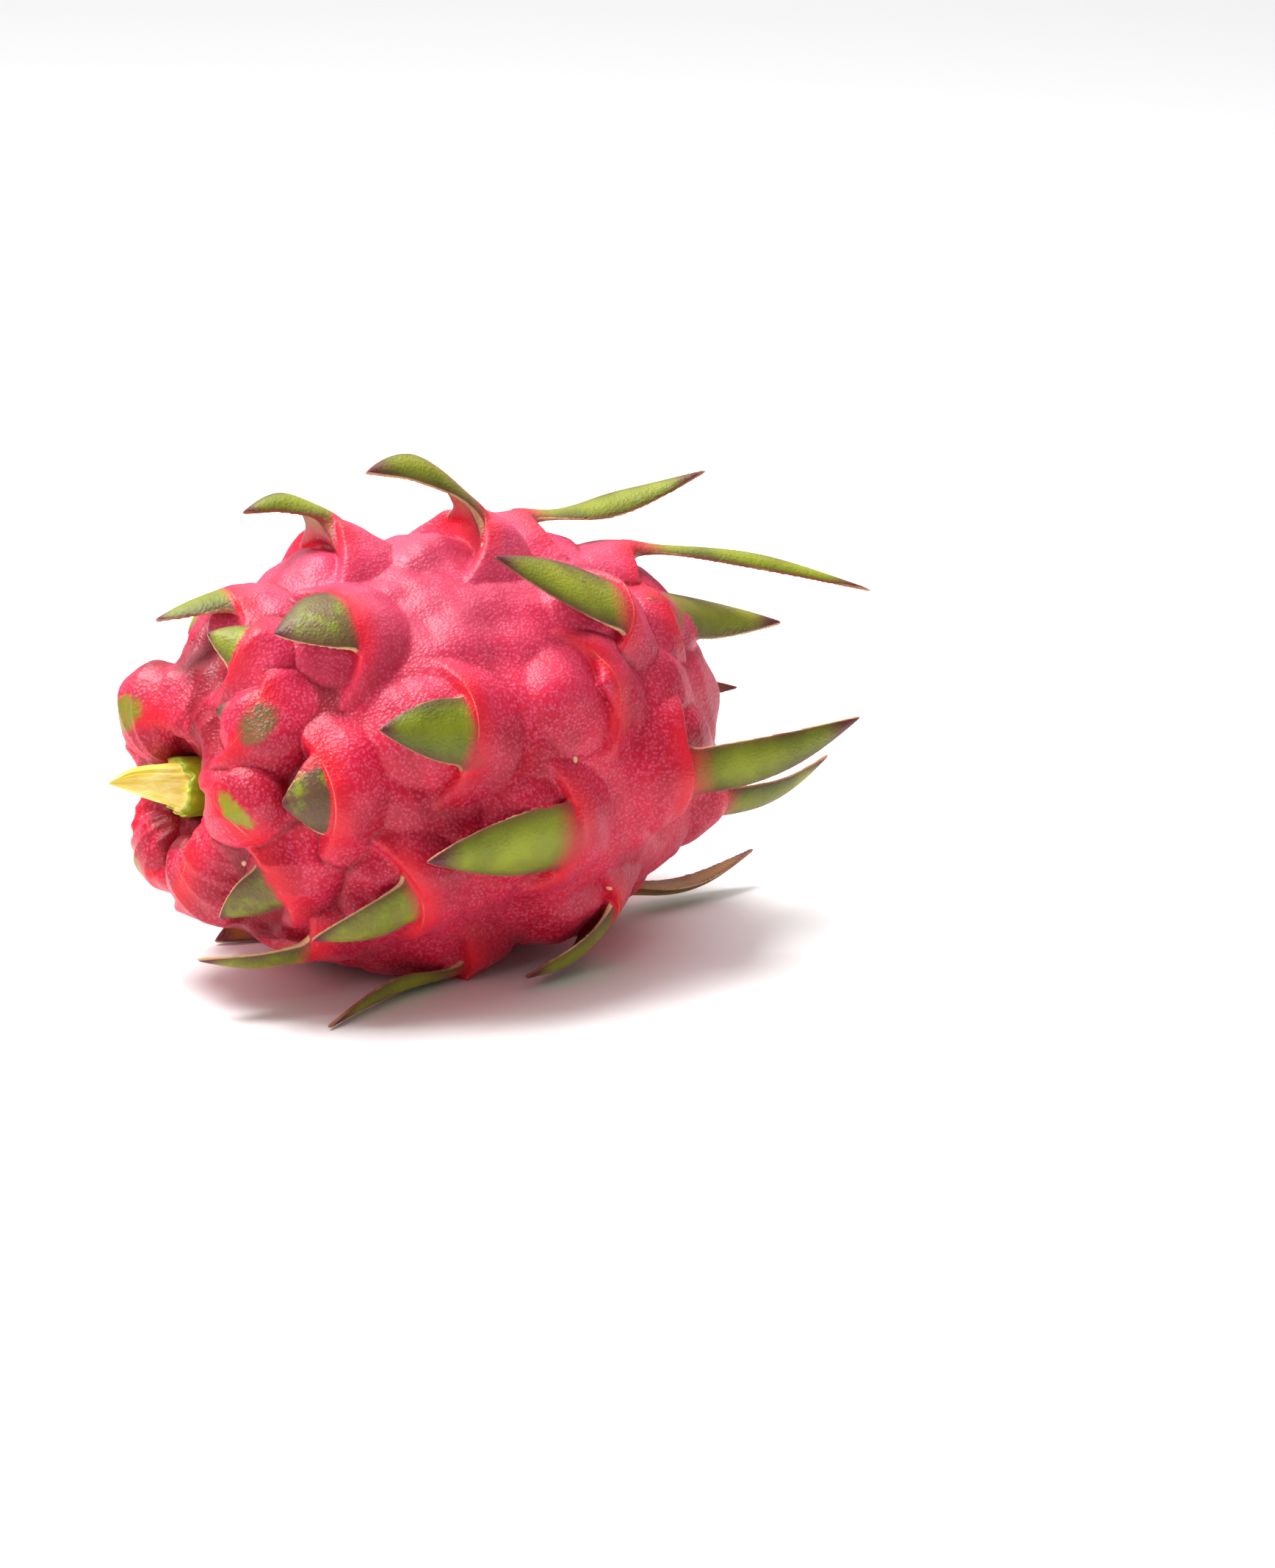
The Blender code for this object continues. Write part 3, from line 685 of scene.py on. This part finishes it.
owner, from_crest, span_share, crease, cap = skin_fields(scales, points)
off_body = np.array([bare_body.find_nearest(point)[3] for point in points.tolist()])
proud = smooth_step((off_body - PROUD_FROM) / PROUD_OVER)
share, side, edge, on_blade, under, blade_owner = leaf_fields(scales, points, normals, proud)
own_shade = np.array([random.Random(number).random() for number in range(SCALE_COUNT)])
dullness = np.array([scale.dull for scale in scales])
owner = np.where(on_blade > 0, blade_owner, owner)
mesh = fruit.data
point_attribute(mesh, "hood", (np.clip(from_crest / CREST_UNIT, -2, 2), span_share, crease))
point_attribute(mesh, "leaf", (share, side, on_blade))
point_attribute(mesh, "own", (own_shade[owner], dullness[owner], under))
point_attribute(mesh, "rim", (edge / MM, points[:, 2], cap))
points = points + np.array(BODY_MIDDLE)
mesh.vertices.foreach_set("co", points.ravel())
mesh.update()
mesh.shade_smooth()


class Paint:
    """One socket of a material. Operators on it add nodes for the sum, and add() adds any other node."""

    def __init__(self, tree, socket=None):
        self.tree = tree
        self.socket = socket

    def add(self, kind, settings, sockets, output=0):
        node = self.tree.nodes.new(kind)
        for name, value in settings.items():
            setattr(node, name, value)
        for name, value in sockets.items():
            if isinstance(value, Paint):
                self.tree.links.new(value.socket, node.inputs[name])
            else:
                node.inputs[name].default_value = value
        return Paint(self.tree, node.outputs[output])

    def maths(self, operation, first, second=0.0):
        return self.add("ShaderNodeMath", {"operation": operation}, {0: first, 1: second})

    def __add__(self, other):
        return self.maths("ADD", self, other)

    __radd__ = __add__

    def __sub__(self, other):
        return self.maths("SUBTRACT", self, other)

    def __rsub__(self, other):
        return self.maths("SUBTRACT", other, self)

    def __mul__(self, other):
        return self.maths("MULTIPLY", self, other)

    __rmul__ = __mul__

    def __abs__(self):
        return self.maths("ABSOLUTE", self)

    def step(self, low, high, start=0.0, end=1.0):
        """A smooth step from start, at low, to end, at high."""
        ends = {1: low, 2: high, 3: start, 4: end}
        return self.add("ShaderNodeMapRange", {"interpolation_type": "SMOOTHSTEP"}, {0: self, **ends})

    def blend(self, without, painted):
        """Mixes two colours: without where this is 0, painted where it is 1."""
        return self.add("ShaderNodeMix", {"data_type": "RGBA"}, {0: self, 6: without, 7: painted}, 2)

    def noise(self, where, scale, detail=2.0, roughness=0.5):
        sockets = {"Vector": where, "Scale": scale, "Detail": detail, "Roughness": roughness}
        return self.add("ShaderNodeTexNoise", {}, sockets)

    def parts(self, attribute):
        """The three numbers that a point attribute holds."""
        whole = self.add("ShaderNodeAttribute", {"attribute_name": attribute}, {}, 1)
        return [whole.add("ShaderNodeSeparateXYZ", {}, {0: whole}, axis) for axis in range(3)]


def srgb(red, green, blue):
    """A colour as seen on the screen, 0 to 255, in the linear values that shaders take."""
    linear = [((c / 255 + 0.055) / 1.055) ** 2.4 if c > 10 else c / 3295 for c in (red, green, blue)]
    return (*linear, 1)


def new_material(name, roughness):
    """A new material, its Principled shader with a plain roughness, and a Paint for its tree."""
    material = bpy.data.materials.new(name)
    material.use_nodes = True
    shader = material.node_tree.nodes["Principled BSDF"]
    shader.inputs["Roughness"].default_value = roughness
    return material, shader, Paint(material.node_tree)


PILLOW_RED = srgb(222, 14, 58)
PILLOW_DEEP_AND_SHADE = srgb(164, 0, 30)
SPECKLE_AND_SHEEN_PINK = srgb(252, 112, 156)
RIDGE_RED = srgb(228, 18, 40)
CREASE_SHADE_RED = srgb(132, 2, 22)
DRY_RIM = srgb(226, 178, 128)
RIM_BROWN = srgb(150, 62, 48)
CORK_DOT = srgb(240, 196, 150)
LEAF_GREEN = srgb(72, 78, 0)
LEAF_LIGHT = srgb(150, 160, 22)
LEAF_DULL = srgb(104, 74, 50)
LEAF_RED = srgb(196, 38, 48)
TIP_BROWN = srgb(92, 36, 40)
CLOUD_SCALE = 60.0
FINE_SCALE = 900.0
SPECKLE_SCALE = 1450.0
CORK_SCALE = 72.0
GREEN_SCALE = 90.0
MOTTLE_SCALE = 300.0
WRINKLE_SCALE = 220.0

skin, skin_shader, paint = new_material("pitaya skin", 0.42)
place = paint.add("ShaderNodeTexCoord", {}, {}, 3)
past_crest, span_part, crease_shade_part = paint.parts("hood")
leaf_part, leaf_side, leaf_mask = paint.parts("leaf")
leaf_edge, above_floor, green_cap = paint.parts("rim")
shade, dull, underside = paint.parts("own")
clouds = paint.noise(place, CLOUD_SCALE, 3.0)
fine = paint.noise(place, FINE_SCALE, 3.0, 0.6)
cells = paint.add("ShaderNodeTexVoronoi", {}, {"Vector": place, "Scale": SPECKLE_SCALE})
speckles = (1 - cells.step(0.1, 0.7)) * clouds.step(0.2, 0.6, 0.55, 1.0) * fine.step(0.25, 0.6, 0.3, 1.0)
on_ridge = past_crest.step(-0.6, 0.0) * (1 - past_crest.step(0.05, 0.3)) * (1 - span_part.step(0.45, 1.0))
skin_colour = (clouds.step(0.32, 0.68) * 0.75 + 0.25 * fine).blend(PILLOW_DEEP_AND_SHADE, PILLOW_RED)
# Painted shade: the skin is blended towards the deep red near the floor, so it is darker towards the bottom
# of the fruit.
skin_colour = ((1 - above_floor.step(0.005, 0.045)) * 0.35).blend(skin_colour, PILLOW_DEEP_AND_SHADE)
# Painted sheen: from 50 mm to 90 mm above the floor the skin is blended towards the pale pink, so it is
# lighter and pinker on top, where the light falls.
skin_colour = (above_floor.step(0.05, 0.09) * 0.3).blend(skin_colour, SPECKLE_AND_SHEEN_PINK)
skin_colour = (speckles * 0.43 * (1 - 0.65 * on_ridge)).blend(skin_colour, SPECKLE_AND_SHEEN_PINK)
skin_colour = (on_ridge * 0.8 * fine.step(0.1, 0.5, 0.7, 1.0)).blend(skin_colour, RIDGE_RED)
# Painted shade: the skin is darkened along the creases between scales and where a scale meets the fill
# between them.
skin_colour = (crease_shade_part.step(0.2, 1.0) * 0.75).blend(skin_colour, CREASE_SHADE_RED)
rim_line = (1 - abs(past_crest - 0.01).step(0.004, 0.018)) * (1 - (span_part + 0.2 * shade).step(0.4, 0.65))
skin_colour = (rim_line * clouds.step(0.4, 0.6) * 0.45).blend(skin_colour, DRY_RIM)
dots = paint.add("ShaderNodeTexVoronoi", {}, {"Vector": place, "Scale": CORK_SCALE})
cork = 1 - dots.step(0.035, 0.06)
skin_colour = cork.blend(skin_colour, CORK_DOT)
lit_middle = 1 - abs(leaf_side).step(0.1, 0.9)
mixed_green = 0.45 * paint.noise(place, GREEN_SCALE, 2.0).step(0.3, 0.7) + 0.35 * lit_middle + 0.2 * shade
fresh_green = mixed_green.blend(LEAF_GREEN, LEAF_LIGHT)
mottled = (dull * 1.2 * paint.noise(place, MOTTLE_SCALE, 4.0, 0.6).step(0.25, 0.6)).step(0.0, 1.0)
leaf_colour = mottled.blend(fresh_green, LEAF_DULL)
leaf_colour = (1 - (leaf_part + 0.1 * clouds).step(0.07, 0.25)).blend(leaf_colour, LEAF_RED)
leaf_colour = (underside * 0.35).blend(leaf_colour, LEAF_RED)
leaf_colour = (abs(leaf_side).step(0.6, 1.0) * 0.6).blend(leaf_colour, TIP_BROWN)
leaf_colour = (leaf_part + 0.12 * clouds).step(0.8, 1.0).blend(leaf_colour, TIP_BROWN)
rim_colour = (dull + clouds).step(0.4, 0.65).blend(RIM_BROWN, DRY_RIM)
leaf_colour = ((1 - leaf_edge.step(0.12, 0.38)) * 0.85).blend(leaf_colour, rim_colour)
cap_edge = 1 - (green_cap + 0.5 * fine).step(0.6, 1.2)
cap_colour = (dull + 0.8 * cap_edge).step(0.2, 1.1).blend(fresh_green, LEAF_DULL)
skin_colour = (green_cap * (0.35 + fine)).step(0.2, 1.0).blend(skin_colour, cap_colour)
whole_colour = leaf_mask.step(0.3, 0.8).blend(skin_colour, leaf_colour)
paint.tree.links.new(whole_colour.socket, skin_shader.inputs["Base Color"])
bumps = 0.5 * speckles + 0.6 * fine + 0.8 * paint.noise(place, WRINKLE_SCALE, 4.0, 0.6) + cork
relief_bump = paint.add("ShaderNodeBump", {}, {"Strength": 0.35, "Distance": 0.0006, "Height": bumps})
paint.tree.links.new(relief_bump.socket, skin_shader.inputs["Normal"])
roughness = 0.34 + 0.16 * fine + 0.08 * leaf_mask
paint.tree.links.new(roughness.socket, skin_shader.inputs["Roughness"])
skin_shader.inputs["Subsurface Weight"].default_value = 0.07
skin_shader.inputs["Subsurface Radius"].default_value = (1.0, 0.3, 0.25)
skin_shader.inputs["Subsurface Scale"].default_value = 0.003
skin_shader.inputs["Specular IOR Level"].default_value = 0.4
skin_shader.inputs["Sheen Weight"].default_value = 0.3
skin_shader.inputs["Sheen Roughness"].default_value = 0.35
skin_shader.inputs["Sheen Tint"].default_value = SPECKLE_AND_SHEEN_PINK
mesh.materials.clear()
mesh.materials.append(skin)
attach(fruit, "root")
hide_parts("fruit")


# The stem: a snapped green stub about 12 mm thick. Its juicy rind is broken off in a ragged ring and brown at
# its foot, and a pale yellow woody splinter tore out of the core. It grows into the fruit.

STEM_SIDES = 144
STEM_SEED = 3
STEM_MIDDLE = np.array([0, 0, AXIS_HEIGHT]) + np.array(BODY_MIDDLE)
STEM_PROFILE = [
    # x, radius, height of the centre, raggedness, all in mm
    (-45.5, 5.9, 0.0, 0.0),
    (-46.5, 6.1, 0.0, 0.0),
    (-49.0, 6.1, 0.0, 0.1),
    (-51.5, 6.0, 0.2, 0.1),
    (-53.5, 6.0, 0.4, 0.2),
    (-55.5, 6.1, 0.6, 0.6),
    (-56.8, 6.1, 0.8, 1.3),
    (-57.4, 5.8, 0.8, 1.4),
    (-57.2, 5.3, 0.9, 1.2),
    (-56.9, 4.9, 1.0, 0.8),
    (-57.4, 4.6, 1.2, 0.5),
    (-58.6, 4.3, 1.5, 0.5),
    (-60.4, 4.0, 1.9, 0.5),
    (-62.7, 3.6, 2.4, 0.5),
    (-65.5, 2.9, 3.0, 0.4),
    (-68.0, 2.0, 3.5, 0.4),
    (-70.0, 1.0, 3.7, 0.3),
    (-71.4, 0.45, 3.8, 0.1),
    (-72.0, 0.12, 3.8, 0.0),
]
RINGS_BETWEEN = 4
STUB_FOOT = -46.0
STUB_LENGTH = 26.0
RIM_AT = -55.5
SPLINTER_AT = -57.0
SPLINTER_EASE = 4.0
SPLINTER_FLATNESS = 0.28
RIND_RADIUS = 5.7
RIND_EASE = 0.4


def waves_round(draw, turn, lowest, highest, steepness):
    """An uneven line round a stub, from -1 to 1, made of waves that repeat after one turn."""
    total = 0 * turn
    for count in range(lowest, highest):
        strength = draw.uniform(0.4, 1.0) * count**-steepness
        total += strength * np.sin(count * turn + draw.uniform(0, 2 * math.pi))
    return total / np.abs(total).max()


def finer_rings(profile, between):
    """Adds rings between those of a profile, on a smooth curve."""
    profile = np.array(profile)
    known = np.arange(len(profile))
    wanted = np.linspace(0, len(profile) - 1, (len(profile) - 1) * between + 1)
    rough = np.stack([np.interp(wanted, known, column) for column in profile.T], axis=-1)
    eased = rough.copy()
    eased[1:-1] = (rough[:-2] + 2 * rough[1:-1] + rough[2:]) / 4
    return eased


def closed_rings(name, rings):
    """A closed solid through rings of equally many points, with a flat cap at each end."""
    count, sides = rings.shape[:2]
    faces = stack_faces(count, sides)
    faces.append(tuple(range(sides)))
    faces.append(tuple(range(count * sides - 1, (count - 1) * sides - 1, -1)))
    return new_object(name, rings.reshape(-1, 3), faces)


def stem_rings():
    """Rings of the stem, and for each point how far in from the rind it is, from 0 to 1."""
    draw = random.Random(STEM_SEED)
    turn = np.linspace(0, 2 * math.pi, STEM_SIDES, endpoint=False)
    torn = waves_round(draw, turn, 2, 18, 0.9)
    fibres = waves_round(draw, turn, 9, 40, 0.4)
    ribs = waves_round(draw, turn, 2, 6, 0.8)
    rings, inner = [], []
    rim_passed = 0
    for x, radius, height, ragged in finer_rings(STEM_PROFILE, RINGS_BETWEEN):
        out = np.clip((SPLINTER_AT - x) / SPLINTER_EASE, 0, 1)
        reach = radius * (1 + 0.05 * ribs + 0.05 * fibres * min(1.0, 0.3 + out))
        flat = 1 - SPLINTER_FLATNESS * out
        push = ragged * torn + 0.25 * ragged * fibres
        drift = 0.5 * out * math.sin(x * 0.45)
        sideways = flat * reach * np.sin(turn) + drift
        points = np.stack([x + push, sideways, height + reach * np.cos(turn)], axis=-1)
        rings.append(points * MM + STEM_MIDDLE)
        rim_passed = max(rim_passed, np.clip((RIND_RADIUS - radius) / RIND_EASE, 0, 1) if x < RIM_AT else 0)
        inner.append(np.full(STEM_SIDES, rim_passed))
    return np.array(rings), np.concatenate(inner)


rings, inner_share = stem_rings()
stem = closed_rings("snapped_stem", rings)
along = (rings.reshape(-1, 3)[:, 0] - BODY_MIDDLE.x) / MM
point_attribute(stem.data, "stub", (1 - inner_share, (STUB_FOOT - along) / STUB_LENGTH))
stem.data.shade_smooth()

RIND_GREEN = srgb(192, 208, 48)
RIND_DARK = srgb(134, 160, 18)
WOOD_YELLOW = srgb(234, 212, 78)
WOOD_PALE = srgb(250, 236, 150)
TORN_EDGE = srgb(196, 168, 76)
FOOT_BROWN = srgb(120, 84, 40)
green_stem, stem_shader, paint = new_material("snapped stem", 0.4)
place = paint.add("ShaderNodeTexCoord", {}, {}, 3)
rind_part, along_part, _ = paint.parts("stub")
stretched = paint.add("ShaderNodeVectorMath", {"operation": "MULTIPLY"}, {0: place, 1: (60.0, 700.0, 700.0)})
grain = paint.noise(stretched, 1.0, 3.0, 0.6)
blotches = paint.noise(place, 260.0, 3.0)
rind_colour = blotches.step(0.35, 0.65).blend(RIND_DARK, RIND_GREEN)
wood_colour = grain.step(0.35, 0.7).blend(WOOD_YELLOW, WOOD_PALE)
wood_colour = (blotches.step(0.5, 0.8) * 0.5).blend(wood_colour, TORN_EDGE)
stem_colour = rind_part.step(0.1, 0.9).blend(wood_colour, rind_colour)
torn_lip = 1 - abs(rind_part - 0.5).step(0.1, 0.5)
stem_colour = (torn_lip * grain.step(0.3, 0.6) * 0.8).blend(stem_colour, FOOT_BROWN)
stem_colour = (1 - (along_part + 0.12 * blotches).step(0.12, 0.22)).blend(stem_colour, FOOT_BROWN)
paint.tree.links.new(stem_colour.socket, stem_shader.inputs["Base Color"])
grain_relief = {"Strength": 0.5, "Distance": 0.0005, "Height": grain + blotches}
grain_bump = paint.add("ShaderNodeBump", {}, grain_relief)
paint.tree.links.new(grain_bump.socket, stem_shader.inputs["Normal"])
stem_shader.inputs["Subsurface Weight"].default_value = 0.15
stem_shader.inputs["Subsurface Radius"].default_value = (1.0, 0.8, 0.3)
stem_shader.inputs["Subsurface Scale"].default_value = 0.002
stem.data.materials.append(green_stem)
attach(stem, "root")
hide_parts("stem")


# What is left of the flower: a short papery tube, shrivelled and torn off, that dried in the hollow opposite
# the stem. Shreds of petals stand round its mouth and dry stamens fill it. It grew from the fruit.

TUBE_SIDES = 144
TUBE_SEED = 8
SHRED_SEED = 21
SHRED_COUNT = 46
STAMEN_COUNT = 90
TUBE_PROFILE = [
    # x, radius, raggedness, all in mm
    (50.0, 6.7, 0.0),
    (51.0, 7.0, 0.0),
    (53.0, 6.9, 0.1),
    (55.0, 6.6, 0.1),
    (57.0, 6.5, 0.2),
    (59.0, 6.6, 0.5),
    (60.6, 6.7, 0.9),
    (61.2, 6.5, 1.0),
    (61.0, 6.1, 1.0),
    (59.6, 5.7, 0.7),
    (57.5, 5.2, 0.3),
    (56.0, 4.4, 0.2),
    (55.4, 3.0, 0.2),
    (55.8, 1.9, 0.1),
    (57.5, 1.4, 0.1),
    (59.5, 1.2, 0.1),
    (60.6, 0.9, 0.1),
    (60.9, 0.3, 0.0),
]
SHRED_SIZE = (5.0 * MM, 2.0 * MM, 0.3 * MM)
SHRED_ROOTS = (57.5, 59.5)
SHRED_RING = (6.0, 6.5)
STAMEN_SIZE = (5.0 * MM, 0.35 * MM, 0.3 * MM)
STAMEN_FOOT = 55.4
STAMEN_RING = (1.8, 2.9)
STAMEN_TURN = 2.4


def tube_rings():
    """Rings of the dried tube: wrinkled lengthwise, ragged at the mouth, with a stump in the middle."""
    draw = random.Random(TUBE_SEED)
    turn = np.linspace(0, 2 * math.pi, TUBE_SIDES, endpoint=False)
    torn = waves_round(draw, turn, 2, 34, 0.5)
    wrinkles = waves_round(draw, turn, 7, 30, 0.3)
    shape = waves_round(draw, turn, 2, 5, 0.8)
    rings = []
    for x, radius, ragged in finer_rings(TUBE_PROFILE, RINGS_BETWEEN):
        reach = radius * (1 + 0.04 * shape + 0.05 * wrinkles)
        points = np.stack([x + ragged * torn, reach * np.sin(turn), reach * np.cos(turn)], axis=-1)
        rings.append(points * MM + STEM_MIDDLE)
    return np.array(rings)


def shred_mesh(name, length, width, thickness):
    """One dry shred as a thin closed solid: rooted at the origin, standing along +Z and curling over."""
    rings = []
    for share in np.linspace(0, 1, 9):
        half = 0.5 * width * (1 - share**2) + 0.04 * MM
        thin = 0.5 * thickness * (1 - 0.6 * share)
        curl = 0.35 * length * share**2
        corners = [(-half, -thin), (half, -thin), (half, thin), (-half, thin)]
        rings.append([(x, y + curl, length * share * (1 - 0.15 * share)) for x, y in corners])
    return closed_rings(name, np.array(rings))


def shreds_group(material):
    """Nodes that set a shred on every point, leaning as the point says, each turned and sized by chance."""
    group = bpy.data.node_groups.new("shreds on points", "GeometryNodeTree")
    interface = group.interface
    for label, kind in (
        ("Points", "NodeSocketGeometry"),
        ("Shred", "NodeSocketObject"),
        ("Smallest", "NodeSocketFloat"),
        ("Largest", "NodeSocketFloat"),
        ("Seed", "NodeSocketInt"),
    ):
        interface.new_socket(name=label, in_out="INPUT", socket_type=kind)
    interface.new_socket(name="Shreds", in_out="OUTPUT", socket_type="NodeSocketGeometry")

    def node(kind, settings, sockets):
        made = group.nodes.new(kind)
        for name, value in settings.items():
            setattr(made, name, value)
        for name, value in sockets.items():
            if isinstance(value, bpy.types.NodeSocket):
                group.links.new(value, made.inputs[name])
            else:
                made.inputs[name].default_value = value
        return made

    given = node("NodeGroupInput", {}, {}).outputs
    lean = node("GeometryNodeInputNamedAttribute", {"data_type": "FLOAT_VECTOR"}, {"Name": "lean"}).outputs[0]
    upright = node("FunctionNodeAlignRotationToVector", {"axis": "Z"}, {"Vector": lean}).outputs[0]
    spin = node(
        "FunctionNodeRandomValue",
        {"data_type": "FLOAT_VECTOR"},
        {"Min": (-0.25, -0.25, -3.1), "Max": (0.25, 0.25, 3.1), "Seed": given["Seed"]},
    ).outputs[0]
    turned = node("FunctionNodeEulerToRotation", {}, {"Euler": spin}).outputs[0]
    both = {"Rotation": upright, "Rotate By": turned}
    posed = node("FunctionNodeRotateRotation", {"rotation_space": "LOCAL"}, both).outputs[0]
    size = node(
        "FunctionNodeRandomValue",
        {"data_type": "FLOAT"},
        {2: given["Smallest"], 3: given["Largest"], "Seed": given["Seed"]},
    ).outputs[1]
    shape = node("GeometryNodeObjectInfo", {}, {"Object": given["Shred"]}).outputs["Geometry"]
    sockets = {"Points": given["Points"], "Instance": shape, "Rotation": posed, "Scale": size}
    placed = node("GeometryNodeInstanceOnPoints", {}, sockets).outputs[0]
    real = node("GeometryNodeRealizeInstances", {}, {"Geometry": placed}).outputs[0]
    coloured = node("GeometryNodeSetMaterial", {}, {"Geometry": real, "Material": material}).outputs[0]
    node("NodeGroupOutput", {}, {"Shreds": coloured})
    return group


def shreds(name, group, points, leans, shred, smallest, largest, seed):
    """One bunch of shreds, rooted at these points, as a plain mesh."""
    obj = new_object(name, points, [])
    lean = obj.data.attributes.new("lean", "FLOAT_VECTOR", "POINT")
    lean.data.foreach_set("vector", np.asarray(leans, dtype=np.float32).ravel())
    modifier = obj.modifiers.new("shreds", "NODES")
    modifier.node_group = group
    values = {"Shred": shred, "Smallest": smallest, "Largest": largest, "Seed": seed}
    for item in group.interface.items_tree:
        if item.name in values:
            modifier[item.identifier] = values[item.name]
    finish_modifiers(obj)
    return obj


HUSK_TAN = srgb(186, 142, 84)
HUSK_PALE = srgb(224, 198, 150)
HUSK_BROWN = srgb(98, 62, 34)
husk, husk_shader, paint = new_material("dried flower", 0.8)
place = paint.add("ShaderNodeTexCoord", {}, {}, 3)
stretched = paint.add("ShaderNodeVectorMath", {"operation": "MULTIPLY"}, {0: place, 1: (90.0, 800.0, 800.0)})
streaks = paint.noise(stretched, 1.0, 4.0, 0.6)
stains = paint.noise(place, 240.0, 3.0)
husk_colour = streaks.step(0.35, 0.7).blend(HUSK_TAN, HUSK_PALE)
husk_colour = stains.step(0.5, 0.7).blend(husk_colour, HUSK_BROWN)
paint.tree.links.new(husk_colour.socket, husk_shader.inputs["Base Color"])
husk_bump = paint.add("ShaderNodeBump", {}, {"Strength": 0.6, "Distance": 0.0004, "Height": streaks + stains})
paint.tree.links.new(husk_bump.socket, husk_shader.inputs["Normal"])

flower = closed_rings("dried_flower", tube_rings())
flower.data.materials.append(husk)
petal_shred = shred_mesh("petal_shred", *SHRED_SIZE)
stamen = shred_mesh("stamen", *STAMEN_SIZE)
draw = random.Random(SHRED_SEED)
group = shreds_group(husk)
roots, leans = [], []
for k in range(SHRED_COUNT):
    turn = 2 * math.pi * (k + draw.uniform(-0.4, 0.4)) / SHRED_COUNT
    radius = draw.uniform(*SHRED_RING)
    root = np.array([draw.uniform(*SHRED_ROOTS), radius * math.sin(turn), radius * math.cos(turn)])
    roots.append(root * MM + STEM_MIDDLE)
    leans.append((1.0, 0.25 * math.sin(turn), 0.25 * math.cos(turn)))
ring_of_shreds = shreds("petal_shreds", group, roots, leans, petal_shred, smallest=0.5, largest=0.9, seed=4)
roots, leans = [], []
for k in range(STAMEN_COUNT):
    turn = k * STAMEN_TURN
    radius = STAMEN_RING[0] + STAMEN_RING[1] * math.sqrt((k + 0.5) / STAMEN_COUNT)
    root = np.array([STAMEN_FOOT, radius * math.sin(turn), radius * math.cos(turn)])
    roots.append(root * MM + STEM_MIDDLE)
    leans.append((1.0, 0.3 * draw.uniform(-1, 1), 0.3 * draw.uniform(-1, 1)))
stamens = shreds("stamens", group, roots, leans, stamen, smallest=0.7, largest=1.1, seed=5)
joined = bmesh.new()
for part in (flower, ring_of_shreds, stamens):
    joined.from_mesh(part.data)
joined.to_mesh(flower.data)
joined.free()
for used in (ring_of_shreds, stamens, petal_shred, stamen):
    bpy.data.objects.remove(used)
flower.data.shade_smooth()
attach(flower, "root")
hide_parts("flower_remnant")
